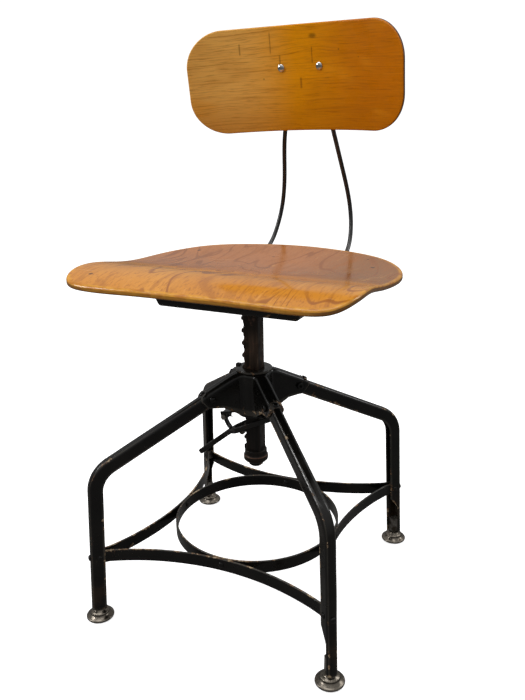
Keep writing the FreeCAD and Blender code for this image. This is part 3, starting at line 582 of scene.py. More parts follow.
def stretcher_plan():
    """Plan line of a stretcher on +X: a radial tail, a short bend of 22 mm, a long arc that touches the foot ring,
    and the same mirrored."""
    a = math.radians(27.0)
    touch = RING_R + STRAP_T + 0.05
    tight, offset = 22.0, 8.0 - 2.0 - STRAP_T / 2 - 0.03
    span = math.cos(a) + math.sin(a)
    wide = (touch + tight * (span - math.sqrt(2)) - offset * math.sqrt(2)) / (span - 1)
    long_arc = arc(touch + wide, 0, wide, 180, 153, 60)
    join = np.array([touch + wide * (1 - math.cos(a)), wide * math.sin(a)])
    centre = join + tight * np.array([math.cos(a), -math.sin(a)])
    short = arc(centre[0], centre[1], tight, 153, 135, 8)[1:]
    u = np.array([1, 1]) / math.sqrt(2)
    tail = short[-1] + u * np.linspace(0, 261.0 - float(short[-1] @ u), 12)[1:, None]
    half = np.concatenate([long_arc, short, tail])
    return np.concatenate([(half * [1, -1])[:0:-1], half])


def strap_points(plan, closed, seed):
    """The strap section stood on its plan line: point = line + across * normal, z = middle + up."""
    if closed:
        t = unit(np.roll(plan, -1, 0) - np.roll(plan, 1, 0))
    else:
        t = unit(np.gradient(plan, axis=0))
    n = xyz(t[:, 1], -t[:, 0])
    sec = strap_section()
    s = np.linspace(0, 1, len(plan), endpoint=not closed)[:, None]
    fade = 1.0 if closed else np.sin(math.pi * s) ** 0.5
    across = sec[None, :, 0] + waves(s, seed, 0.3, 1.0) * fade
    up = sec[None, :, 1] + waves(s, seed + 9, 0.25, 1.0) * fade
    x, y = np.moveaxis(plan[:, None] + n[:, None] * across[..., None], -1, 0)
    # edge weight: 1 on the upper edge and 0.5 on the lower; in the black paint it places chips and a painted highlight
    # line, stronger on top
    edge = np.clip((np.abs(sec[:, 1]) - 7.6) / 2.0, 0, 1) * (0.75 + 0.25 * np.sign(sec[:, 1]))
    return xyz(x, y, STRAP_Z + up), edge


def straps():
    """The four stretchers and the foot ring."""
    for k, side in enumerate(("left", "rear", "right", "front")):
        points, edge = strap_points(stretcher_plan(), False, 20 + k)
        Parts().add(turn_z(points, 90 * k + BASE_TURN), edge=edge).build(
            "stretcher_%s_shaped" % side, "base", "black_paint", "stretcher_" + side)
    circle = arc(0, 0, RING_R, 0, 360, 241)[:-1]
    points, edge = strap_points(circle, True, 40)
    Parts().add(points, wrap_u=True, edge=edge).build("foot_ring_shaped", "base", "black_paint", "foot_ring")


def dome_piece(name, body, slot, node, places):
    """Domed heads at (origin, axis, radius, height), each a small profile turned about its own axis."""
    part = Parts()
    for origin, axis, radius, height in places:
        part.add(aim(lathe(dome_profile(radius, height), 32), origin, axis), edge=0.4)
    part.build(name, body, slot, node)


def rotated(v, azimuth):
    """One point or direction turned about the post axis."""
    return turn_z(np.asarray(v, float), azimuth)


def base_rivets():
    """Rivet and bolt heads on the ring, the legs and the hub arms."""
    out = np.array([math.sin(FALL), 0, math.cos(FALL)])
    middle = np.array([77.0, 0, slope_z(77.0)])
    strap_r = leg_r(STRAP_Z)
    heads = {"ring_rivets": [], "stretcher_rivets": [], "leg_bolts": [], "hub_rivets": []}
    hub_bolts = Parts()
    for k in range(4):
        for x, d in ((RING_R - 1.5, -1), (RING_R + 4.55, 1)):
            heads["ring_rivets"].append((90 * k, (x, 0, STRAP_Z), (d, 0, 0), 4.6, 2.2))
    for azimuth in LEGS.values():
        for side in (-1, 1):
            heads["stretcher_rivets"].append((azimuth, (strap_r - 3, 8.0 * side, STRAP_Z), (0, side, 0), 4.4, 2.0))
        heads["leg_bolts"].append((azimuth, (strap_r + 10.6, 0, STRAP_Z), (1, 0, 0), 4.6, 2.8))
        heads["hub_rivets"].append((azimuth, middle + out * 13.1, out, 4.4, 2.4))
        heads["hub_rivets"].append((azimuth, middle + out * 8.4, -out, 4.2, 1.6))
        for side, shape, worn_and_highlit in ((1, lathe(dome_profile(5.2, 3.4), 32), 0.4), (-1, hex_nut(5.6, 4.2), 0.5)):
            place = rotated((70.0, 10.6 * side, slope_z(70.0)), azimuth + BASE_TURN)
            hub_bolts.add(aim(shape, place, rotated((0, side, 0), azimuth + BASE_TURN)), edge=worn_and_highlit)
    for node, places in heads.items():
        turned = [(rotated(at, a + BASE_TURN), rotated(axis, a + BASE_TURN), *size) for a, at, axis, *size in places]
        dome_piece(node[:-1] + "_heads", "base", "black_paint", node, turned)
    hub_bolts.build("hub_bolt_heads", "base", "black_paint", "hub_bolts")


def hex_nut(radius, height):
    """A hexagon with softened corners carried up a profile with a chamfered top and bottom."""
    a = np.radians(np.arange(0, 360, 5) + 2.5)
    r = np.minimum(radius * math.cos(math.pi / 6) / np.cos((a % (math.pi / 3)) - math.pi / 6), radius * 0.965)
    outline = xyz(r * np.cos(a), r * np.sin(a))
    return around_outline(outline, [(radius * 0.86, 0), (0.5, 0), (0.1, 0.35), (0, height - 0.5),
                                    (0.35, height), (1.3, height + 0.08), (radius * 0.86, height + 0.08)])


# ---- hub

def hub_outline():
    """Quarter outline of the pressed cross for an arm on +X: rounded arm end, straight side, concave corner of
    radius 9 and a round drum of radius 26, mirrored about the arm."""
    half, drum, fil, reach = 10.6, 26.0, 9.0, 86.0
    cx = math.sqrt((drum + fil) ** 2 - (half + fil) ** 2)
    end = math.degrees(math.atan2(half + fil, cx))
    upper = np.concatenate([
        xyz(reach, np.linspace(0, half - 1.2, 8)),
        arc(reach - 1.2, half - 1.2, 1.2, 0, 90, 5)[1:],
        xyz(np.linspace(reach - 1.2, cx, 40)[1:], half),
        arc(cx, half + fil, fil, 270, 180 + end, 14)[1:],
        arc(0, 0, drum, end, 45, 8)[1:-1]])
    lower = upper[:0:-1] * [1, -1]
    return np.concatenate([lower, upper])


def hub_top_z(r):
    """Height of the pressed top at a distance along the arm: the flat at 364 blended into the arm's slope."""
    slope = 378.65 - r / 2
    blend = 2.2
    return SLOPE_TOP - blend * np.log(1 + np.exp(-(slope - SLOPE_TOP) / blend))


def hub_quarter():
    """One quarter of the shell on +X. Rows run from the rim of the post's hole and the arm's middle line over the
    rounded shoulder, down the wall, round the lower rim and back up the inner wall. At the arm the walls lean back
    so they stay square to its slope."""
    shoulder, wall, hole = 7.4, 2.5, 18.5
    q = hub_outline()
    n = unit(xyz(np.gradient(q[:, 1]), -np.gradient(q[:, 0])))
    along = np.clip((q[:, 0] - 18.4) / (86.0 - 18.4), 0, 1)
    bearing = np.arctan2(q[:, 1], q[:, 0])
    spine = xyz(np.maximum(along * 75.4, hole * np.cos(bearing)), hole * np.sin(bearing) * (1 - smooth(along / 0.3)))
    flare = 0.9 * smooth((q[:, 0] - 78.5) / 2.0)
    top_r = 26 + np.maximum(q[:, 0] - 26, 0)
    low_r = np.interp(top_r, [26, 60, 86], [26, 52, 76.3])
    low_z = np.interp(low_r, [26, 52, 76.3], [297, 313, 316.3])
    shift = (low_r - top_r) * smooth((q[:, 0] - 24) / 10)

    def row(inset, drop, t, share=1.0):
        x, y = (spine + (q - n * (inset - flare[:, None]) - spine) * share).T
        z_top = hub_top_z(np.abs(x)) - drop
        return xyz(x + shift * t, y, z_top + (low_z - z_top) * t)

    rows = [row(shoulder, 0, 0, share) for share in np.linspace(0, 1, 6)[:-1]]
    rows += [row(shoulder * (1 - math.sin(a)), shoulder * (1 - math.cos(a)), 0)
             for a in np.radians(np.linspace(0, 90, 9))]
    rows += [row(0, shoulder, t) for t in (0.12, 0.3, 0.5, 0.7, 0.88, 0.97)]
    rows += [row(0.4, shoulder, 1.0), row(1.3, shoulder, 1.006), row(2.1, shoulder, 1.0)]
    rows += [row(wall, shoulder, t) for t in (0.9, 0.6, 0.3, 0.0)]
    rows += [row(shoulder, wall, 0, share) for share in (1.0, 0.5, 0.0)] + rows[:1]
    points = np.stack(rows)
    # edge weight for the black paint: 0.35 on the rounded shoulder gives chips; 0.8 on the lower rim and the arm ends
    # gives chips and a painted highlight line
    worn_and_highlit = np.zeros(points.shape[:2])
    worn_and_highlit[5:14] = 0.35
    worn_and_highlit[18:24] = 0.8
    return points, np.maximum(worn_and_highlit, smooth((q[:, 0] - 83) / 2.0) * 0.8)


def hub_shell():
    """The pressed cross: four turned copies of its quarter."""
    points, worn_and_highlit = hub_quarter()
    whole = np.concatenate([turn_z(points, 90 * k + 45 + BASE_TURN) for k in range(4)], 1)
    Parts().add(whole, edge=np.concatenate([worn_and_highlit] * 4, 1), caps=False).build(
        "hub_shell_pressed", "base", "black_paint", "hub_shell")


def post_hole():
    """Outline of the hole round the toothed post: a square 24.6 across with a step of 4.3 mm for the teeth."""
    corners = [(12.3, -12.3), (12.3, 12.3), (-12.3, 12.3), (-12.3, 8.3), (-16.3, 8.3), (-16.3, -8.3),
               (-12.3, -8.3), (-12.3, -12.3)]
    return np.asarray(corners, float)


def radial_resample(outline, angles):
    """Where rays from the middle at the given angles meet a star-shaped closed polygon: for each side the ray's
    length t and the share s of the side come from cross products, and the nearest hit within a side counts."""
    ax, ay = outline.T
    ex, ey = (np.roll(outline, -1, 0) - outline).T
    d = xyz(np.cos(angles), np.sin(angles))
    dx, dy = d[:, :1], d[:, 1:]
    cross = dx * ey - dy * ex
    cross = np.where(np.abs(cross) < 1e-9, 1e-9, cross)
    t, s = (ax * ey - ay * ex) / cross, (ax * dy - ay * dx) / cross
    return d * np.where((s >= -1e-6) & (s <= 1 + 1e-6) & (t > 0), t, 1e9).min(1)[:, None]


def hub_top_plate():
    """A ring plate from the post's hole to a round rim with soft edges, and its small upstanding tab."""
    a = np.linspace(0, 2 * math.pi, 288, endpoint=False)
    hole = radial_resample(post_hole(), a)
    rim = 27.5 * xyz(np.cos(a), np.sin(a))
    share, z = np.array([(0.0, 364.05), (0.0, 366.6), (0.03, 367.05), (0.5, 367.05), (0.93, 367.05), (0.975, 366.85),
                         (0.995, 366.3), (1.0, 365.6), (1.0, 364.7), (0.99, 364.2), (0.96, 364.05)]).T[:, :, None]
    x, y = np.moveaxis(hole + (rim - hole) * share[:, :, None], -1, 0)
    # the outer rim and the hole's edge get chips and a painted highlight line from this weight
    worn_and_highlit = 0.8 * ((share > 0.9) | (share < 0.02))
    tab = around_outline(rounded_rect(3.5, 4.0, 1.2, 4, 2), [(2.5, 364.1), (0, 364.1), (0, 368.9), (0.3, 369.3),
                                                            (0.9, 369.55), (2.5, 369.55)]) - [26.0, 0, 0]
    Parts().add(xyz(x, y, z), wrap_u=True, edge=worn_and_highlit).add(tab, edge=0.5).build(
        "hub_top_plate_rimmed", "base", "black_paint", "hub_top_plate", sharp=50)


# ---- post

def post_face(z):
    """x of the toothed face at a height: the tip at -16, cut by a round valley every 19.05 mm and by a sloping
    lead below each one."""
    dz = z - VALLEY_Z0
    dz = dz - TOOTH_PITCH * np.round(dz / TOOTH_PITCH)
    round_cut = -16.5 + np.sqrt(np.maximum(VALLEY_R ** 2 - dz ** 2, 0))
    lead = np.interp(-((z - VALLEY_Z0) % TOOTH_PITCH - TOOTH_PITCH), [0, 4.5, 11, 30], [-17, -13.5, -17, -17])
    inside = (z > 240) & (z < 448)
    cut = np.maximum(np.where(np.abs(dz) < VALLEY_R, round_cut, -17), lead)
    face = np.maximum(-16, np.where(inside, cut, -16))
    pad = np.concatenate([[face[0]] * 2, face, [face[-1]] * 2])
    return (pad[:-4] + 2 * pad[1:-3] + 3 * pad[2:-2] + 2 * pad[3:-1] + pad[4:]) / 9


def rack_post():
    """A square bar with rounded corners and a toothed rib, its rib face moved in x at each height."""
    z = np.concatenate([[POST_FOOT, POST_FOOT + 0.05], np.arange(233.6, 464.6, 0.45), [POST_TOP - 0.05, POST_TOP]])
    face = post_face(z)
    upper = np.concatenate([
        xyz(12.0, np.linspace(-9, 9, 6)), arc(9, 9, 3, 0, 90, 6)[1:],
        xyz(np.linspace(9, -9, 6)[1:], 12.0), arc(-9, 9, 3, 90, 180, 6)[1:]])
    rib_half = np.array([8.05, 8.0, 7.85, 7.4, 5.5, 3.0, 1.0])
    rib_y = np.concatenate([rib_half, -rib_half[::-1]])
    rib_in = 0.9 * np.array([99, 1.0, 0.35, 0, 0, 0, 0, 0, 0, 0, 0, 0.35, 1.0, 99])
    lower = upper[::-1][:-1] * [1, -1]
    lower = lower[lower[:, 1] < -9.0 + 1e-6]
    upper = upper[upper[:, 1] > -8.99]
    back = np.concatenate([upper, xyz(-12.0, rib_y), lower])
    start, stop = len(upper), len(upper) + len(rib_y)
    x, y = (np.broadcast_to(column, (len(z), len(back))).copy() for column in back.T)
    floor = np.maximum(-12.0, face)[:, None]
    x[:, start:stop] = np.minimum(face[:, None] + rib_in, floor)
    sides = np.abs(back[:, 1]) > 8.2
    x[:, sides] = np.maximum(x[:, sides], floor)
    shrink = np.where((z < POST_FOOT + 0.04) | (z > POST_TOP - 0.03), 0.05, 0.0)[:, None]
    points = xyz(x * (1 - shrink), y * (1 - shrink), z[:, None])
    edge = np.zeros(x.shape)
    edge[:, start + 1:stop - 1] = 0.25 + 0.6 * smooth((-14.6 - face) / 1.2)[:, None]
    edge[:, (np.abs(np.abs(back) - 11.1) < 0.7).all(1)] = 0.8
    Parts().add(points, edge=edge).build("rack_post_toothed", "lifting_post", "browned_steel", "rack_post", sharp=60)


def soft_block(outline, low, high, r, depth):
    """Profile of a block with softened lower and upper edges, closed towards the middle by the depth."""
    t = np.radians(np.linspace(0, 90, 5))
    lower = [(r * (1 - math.sin(a)), low + r * (1 - math.cos(a))) for a in t]
    upper = [(r * (1 - math.cos(a)), high - r * (1 - math.sin(a))) for a in t]
    return around_outline(outline, [(depth, low)] + lower + upper + [(depth, high)])


def post_fittings():
    """The collar on the post's top, the round stop collar at its foot and the end nut."""
    head = soft_block(rounded_rect(17.5, 15.0, 4.0, 8, 6), 462.6, 466.5, 1.0, 9.0)
    edge = np.zeros(head.shape[:2])
    edge[[2, 3, 4, 7, 8, 9]] = 0.7
    Parts().add(head, edge=edge).build("post_head_collar", "lifting_post", "browned_steel", "post_head")
    foot = [(0.01, 214), (16.4, 214), (17.1, 214.15), (18.7, 216.0), (19.0, 216.8), (19.0, 222.6), (18.7, 223.4),
            (17.6, 224.9), (17.25, 225.6), (17.2, 226.5), (17.2, 231.9), (16.9, 232.7), (16.2, 233), (0.01, 233)]
    edge = np.array([0, .4, .6, .8, .9, .9, .8, .5, .2, .1, .1, .7, .5, 0])[:, None]
    Parts().add(lathe(foot, 72), edge=edge).build("stop_collar_turned", "lifting_post", "browned_steel", "stop_collar")
    nut = [(0.01, 205), (7.9, 205), (8.6, 205.15), (11.0, 207.2), (11.2, 207.8), (11.2, 210.7), (10.9, 211.6),
           (9.9, 213.6), (9.5, 213.85), (0.01, 213.85)]
    Parts().add(lathe(nut, 48), edge=0.3).build("end_nut_domed", "lifting_post", "black_paint", "end_nut")


# ---- glides

def glide_profile():
    """Foot, rolled rim, flared dish, beaded neck ring and stem as (radius, height)."""
    rolled = arc(18.6, 2.3, 2.2, -90, 80, 12)
    flare = np.array([[17.6, 5.25], [16.6, 5.9], [15.4, 6.6], [14.5, 7.3], [13.9, 7.9]])
    bead = arc(12.6, 9.7, 1.6, -50, 70, 9)
    neck = np.array([[12.4, 11.6], [11.2, 12.35], [9.7, 12.8], [8.7, 13.3], [8.2, 14.0], [7.9, 14.75], [7.2, 15.0],
                     [4.3, 15.0], [4.0, 15.3], [4.0, 37.7], [3.7, 38.0], [0.01, 38.0]])
    return np.concatenate([[[0.01, 0.6], [15.5, 0.5], [17.0, 0.05]], rolled, flare, bead, neck])


def glides():
    """Four turned glides. The neck ring's 24 beads are a ripple of its radius: r (1 + 0.018 cos 24a)."""
    profile = glide_profile()
    a = np.linspace(0, 2 * math.pi, 96, endpoint=False)
    beads = ((profile[:, 1] > 8.2) & (profile[:, 1] < 11.5)) * 1.0
    ripple = 1 + 0.018 * beads[:, None] * np.cos(24 * a)
    points = lathe(profile, len(a)) * xyz(ripple, ripple, 1.0) + [leg_r(29.0), 0, 0]
    # this weight lightens the rolled rim and the beads in the nickel, a painted highlight
    edge = np.clip(smooth((profile[:, 0] - 17.5) / 2.5) + 0.6 * beads, 0, 1)[:, None]
    for corner, azimuth in LEGS.items():
        Parts().add(turn_z(points, azimuth + BASE_TURN), edge=edge).build(
            "glide_%s_turned" % corner, "foot_" + corner, "nickel", "glide_" + corner)


# ---- release lever

def bar(path, half_width, half_depth, share):
    """A rounded bar swept along a path, its width level, with its ends drawn in as quarter ellipses over a share
    of its length."""
    s = np.linspace(0, 1, len(path))
    drawn = np.ones_like(s)
    for distance in (s, 1 - s):
        drawn = drawn * np.sqrt(np.clip(1 - (1 - np.clip(distance / share, 0, 1)) ** 2, 0.04, 1))
    section = rounded_rect(1.0, 1.0, 0.42, 5, 3)
    return sweep(path, (0, 1, 0), section * xyz(half_width * drawn, half_depth * drawn)[:, None])


def release_fork():
    """Handle, shoulder and two prongs of the fork as tapered bars along bent lines, and the hanging strap."""
    part = Parts()
    x = np.linspace(-101.5, -36.0, 70)
    z = np.where(x > -41.5, 256.0 + (x + 41.5) * 0.52, np.interp(x, [-101.5, -41.5], [205.6, 256.0]))
    half_width = np.interp(x, [-101, -54, -40, -34], [3.5, 4.2, 9.0, 12.0])
    part.add(bar(xyz(x, 0, z), half_width, 4.1, 0.04), edge=0.35)
    x = np.linspace(-41.0, 38.0, 110)
    y = np.interp(x, [-41, -27, -24, 38], [5.0, 15.6, 16.5, 16.5])
    y = np.convolve(np.pad(y, 4, mode="edge"), np.ones(9) / 9, "valid")
    z = np.interp(x, [-41.5, 38.0], [256.0, 296.8])
    for side in (-1, 1):
        part.add(bar(xyz(x, side * y, z), 2.45, 4.1, 0.035), edge=0.35)
    part.build("release_lever_forged", "release_fork", "black_paint", "release_lever")
    hang = open_spline([(-53.1, 0, 281.5), (-52.0, 0, 276), (-50.2, 0, 270.5), (-45.9, 0, 263.2), (-42.4, 0, 259.9)],
                       n=40)
    eye = [(0.01, -4.5), (4.5, -4.5), (5.0, -4.1), (5.0, 4.1), (4.5, 4.5), (0.01, 4.5)]
    Parts().add(bar(hang, 4.5, 1.65, 0.06), edge=0.3).add(
        aim(lathe(eye, 32), (-50, 0, 280), (0, 1, 0)), edge=0.3).build(
        "lever_hanger_bent", "release_fork", "black_paint", "lever_hanger")


# ---- seat pan, screws, rods

def pan_outline(grow):
    """Rounded rectangle of the pan, its ends at 106 + grow and its front and rear at 86."""
    return rounded_rect(106.0 + grow, 86.0, 4.0, 7, 40)


def seat_pan():
    """The pan as one closed skin: floor, flared ends, rim cut to the seat's under face, and the same inside."""
    bend, thick = 3.0, 4.6
    base, wide = pan_outline(0.0), pan_outline(6.0)
    n = normals_2d(base)
    rim = seat_z(wide[:, 1]) - SEAT_THICK - 0.3

    def row(inset, z, t, share=1.0):
        x, y = ((base + (wide - base) * t - n * inset) * share).T
        return xyz(x, y, z)

    def wall(inset, t):
        return row(inset, PAN_KNEE + (rim - PAN_KNEE) * t, 1.0)

    rows = [row(bend, PAN_FLOOR, 0.0, share) for share in np.linspace(0, 1, 12)[:-1]]
    for a in np.radians(np.linspace(0, 90, 6)):
        lift = 1 - math.cos(a)
        rows.append(row(bend * (1 - math.sin(a)), PAN_FLOOR + bend * lift, 0.15 * lift))
    rows += [row(0, PAN_FLOOR + bend + 9 * t, 0.15 + 0.85 * t) for t in (0.45, 0.8, 0.97, 1.0)]
    rows += [wall(0, t) for t in (0.1, 0.5, 0.9, 0.98)]
    rows += [row(0.35, rim, 1.0), row(2.5, rim, 1.0), row(2.9, rim - 0.4, 1.0), wall(bend, 0.6), wall(bend, 0.1)]
    rows += [row(bend, PAN_FLOOR + 5, 0.3), row(thick, PAN_FLOOR + 3.1, 0.0)]
    rows += [row(thick, PAN_FLOOR + 3, 0.0, share) for share in np.linspace(1, 0, 8)[1:]]
    points = np.stack(rows)
    edge = np.zeros(points.shape[:2])
    edge[12:17] = 0.5
    edge[25:28] = 0.7
    Parts().add(points, caps=False, edge=edge).build("seat_pan_pressed", "swivel_seat", "black_paint", "seat_pan")


def screw_profile(radius, height):
    """A round screw head with a thin rim at its foot: straight skirt, then a full dome."""
    t = np.radians(np.linspace(8, 90, 14))
    top = xyz(np.maximum(radius * np.cos(t) ** 0.9, 0.01), 0.45 + (height - 0.45) * np.sin(t))
    return np.concatenate([[[0.01, -0.2], [radius, -0.2], [radius + 0.12, 0.05], [radius + 0.05, 0.35]], top])


def back_place(x, z, depth):
    """A point of the upright backrest at a depth behind its front face, and the direction square to the face."""
    angle = math.asin(x / BACK_CURVE)
    reach = BACK_CURVE + depth
    out = np.array([math.sin(angle), math.cos(angle), 0.0])
    return np.array([0, BACK_FRONT - BACK_CURVE, z]) + out * reach, out


def lean_direction(d):
    """A direction turned with the backrest."""
    return lean(np.array([0, BACK_FRONT, BACK_MIDDLE]) + d) - [0, BACK_FRONT, BACK_MIDDLE]


def screws():
    """Chromed heads on the backrest, nuts behind it, and round heads under the pan."""
    heads, nuts = Parts(), Parts()
    stub = [(0.01, 0), (2.5, 0), (2.5, 5.4), (2.1, 5.8), (0.01, 5.8)]
    for side in (-1, 1):
        face, out = back_place(side * SCREW_X, SCREW_Z, -0.05)
        heads.add(aim(lathe(screw_profile(5.6, 3.1), 48), lean(face), lean_direction(-out)), edge=0.2)
        rear, out = back_place(side * SCREW_X, SCREW_Z, BACK_T + 4.35)
        for shape, worn_and_highlit in ((hex_nut(4.9, 4.0), 0.4), (lathe(stub, 24), 0.2)):
            nuts.add(aim(shape, lean(rear), lean_direction(out)), edge=worn_and_highlit)
    heads.build("backrest_screw_heads", "swivel_seat", "chrome", "backrest_screws")
    nuts.build("backrest_nuts_hexagon", "swivel_seat", "nickel", "backrest_nuts")
    under = [((x, y, PAN_FLOOR), (0, 0, -1), 5.0, 2.6) for x in (-92, 92) for y in (-66, 66)]
    dome_piece("seat_screw_heads", "swivel_seat", "nickel", "seat_screws", under)
    clamps = [((73 * side, y, PAN_FLOOR), (0, 0, -1), 4.2, 2.2) for side in (-1, 1) for y in (-25, 45)]
    dome_piece("clamp_screw_heads", "swivel_seat", "nickel", "clamp_screws", clamps)


def back_rods():
    """Round rods along a spline, drawn out into a flat 12 by 4.2 end behind the backrest."""
    rod, half_wide, half_thin = 3.5, 6.0, 2.1
    a = np.radians(np.arange(0, 360, 15))
    circle = xyz(np.cos(a), np.sin(a))
    box = circle / np.maximum(np.abs(circle).max(-1, keepdims=True), 1e-9) ** 0.75
    for name, side in (("left", 1), ("right", -1)):
        route = np.asarray(ROD_ROUTE, float) * [side, 1, 1]
        place, out = back_place(side * SCREW_X, SCREW_Z, BACK_T + 0.05 + half_thin)
        tab = lean(place + xyz(0, 0, np.array([-22.0, 0.0, 9.0])))
        lead = route[1] - xyz(0, np.array([14, 7]), 0)
        curve = open_spline(np.concatenate([lead, route[1:], tab]), n=260)
        first = int(np.argmax(curve[:, 1] > route[1][1] - 1e-3))
        path = np.concatenate([line(route[0], route[1], 24)[:-1], curve[first:]])
        z = path[:, 2]
        flat = smooth((z - 757) / 14.0)
        end = np.sqrt(np.clip(1 - np.clip((z - (z[-1] - 5.8)) / 6.0, 0, 1) ** 2, 0.03, 1))
        size = xyz((rod + (half_wide - rod) * flat) * end, rod + (half_thin - rod) * flat)
        shape = circle + (box - circle) * flat[:, None, None]
        width = lean_direction((out[1], -out[0], 0))
        Parts().add(sweep(path, width, shape * size[:, None]), edge=0.2).build(
            "back_rod_%s_drawn" % name, "swivel_seat", "rod_enamel", "back_rod_" + name)


# ---- materials

def seat_wood():
    """Old varnished beech ply: warm orange with fine pores, dark crossing streaks, arched grain and specks; the rounded
    edge is yellower, its side shows the thin plies, and the lower face is darkened as painted shade."""
    m = Nodes("seat_plywood_aged")
    x, y, _ = m.split()
    swirl = m.noise(5.0, 2, stretch=(1, 0.55, 0.2), shift=(3.1, 1.7, 0))
    bent = m.join(m.plus(x, m.times(swirl, 0.16)), y, 0.0)
    field = m.noise(3.4, 3, 0.5, 0.35, (2.0, 0.42, 1), shift=(1.3, 4.2, 0), vector=bent)
    ring_line = m.ramp(m.math("SINE", m.times(field, 115)), 0.72, 1.0)
    streak = m.noise(26, 5, 0.62, 0.3, (2.6, 0.3, 1), turn=(0, 0, -24), vector=bent)
    fine = m.noise(420, 3, 0.6, stretch=(1.0, 0.09, 1), turn=(0, 0, -10))
    broad = m.noise(7, 2, stretch=(1, 0.7, 1), shift=(7, 2, 0))
    rear = m.times(m.ramp(y, -0.075, -0.035), m.ramp(broad, 0.2, 0.5, 0.75, 1.0))
    front_tone = m.mix(m.ramp(broad, 0.35, 0.65), srgb(218, 150, 60), srgb(205, 134, 46))
    tone = m.mix(rear, front_tone, m.mix(m.ramp(x, 0.02, 0.15), srgb(180, 114, 62), srgb(150, 98, 52)))
    tone = m.stain(tone, streak, 0.52, 0.68, 0.6, srgb(164, 98, 38))
    golden = m.times(m.ramp(x, -0.03, 0.11), m.times(m.ramp(y, -0.135, -0.095), m.ramp(y, -0.045, -0.08)))
    tone = m.mix(m.times(golden, 0.6), tone, srgb(178, 108, 14))
    tone = m.stain(tone, streak, 0.40, 0.26, 0.35, srgb(240, 180, 100))
    faded = m.times(ring_line, m.ramp(m.noise(9, 2, stretch=(1, 1, 1), shift=(2, 9, 0)), 0.36, 0.56, 0.25, 0.8))
    tone = m.mix(faded, tone, srgb(146, 84, 34))
    tone = m.stain(tone, fine, 0.50, 0.68, 0.55, srgb(156, 90, 36))
    specks = m.cells(17, (1, 1, 0.0), shift=(0.4, 0.9, 0))
    tone = m.stain(tone, specks, 0.045, 0.02, 0.75, srgb(70, 40, 22))
    for px, py in ((-0.165, -0.169), (-0.149, 0.088), (0.151, 0.069), (0.134, -0.073)):
        tone = m.stain(tone, m.away(x, y, px, py), 0.0042, 0.0018, 0.8, srgb(66, 36, 20))
    edge, depth = m.attr("edge"), m.attr("depth")
    rim = m.mix(m.ramp(m.noise(60, 3, stretch=(1, 1, 6)), 0.4, 0.65), srgb(222, 158, 44), srgb(184, 112, 22))
    tone = m.stain(tone, edge, 0.3, 0.95, 0.75, rim)
    plies = m.math("SINE", m.times(depth, 36))
    ply = m.mix(m.ramp(plies, -0.3, 0.5), srgb(150, 106, 62), srgb(96, 60, 34))
    side = m.times(m.ramp(depth, 0.22, 0.36), m.ramp(edge, 0.85, 0.99))
    right_side = m.times(side, m.ramp(m.math("ABSOLUTE", x), 0.14, 0.19, 0.45, 1.0))
    tone = m.mix(m.times(right_side, 0.85), tone, ply)
    # painted shade: the lower face and the lower half of the side turn dark brown
    tone = m.stain(tone, depth, 0.55, 0.98, 0.8, srgb(60, 36, 18))
    scratches = m.noise(190, 2, stretch=(0.05, 1.6, 1), turn=(0, 0, 37))
    scuff = m.times(m.ramp(scratches, 0.66, 0.74), m.ramp(m.noise(14, 2), 0.5, 0.62))
    tone = m.mix(m.times(scuff, 0.35), tone, srgb(236, 196, 140))
    rough = m.plus(m.ramp(m.noise(30, 4), 0.3, 0.7, 0.11, 0.24), m.times(scuff, 0.25))
    normal = m.bump(fine, 0.10, 0.0002)
    normal = m.bump(m.noise(3.2, 1, stretch=(1, 1, 0.1)), 0.5, 0.003, normal)
    m.set(Base_Color=tone, Roughness=rough, Normal=normal, IOR=1.5, Specular_IOR_Level=0.45)
    return m.mat


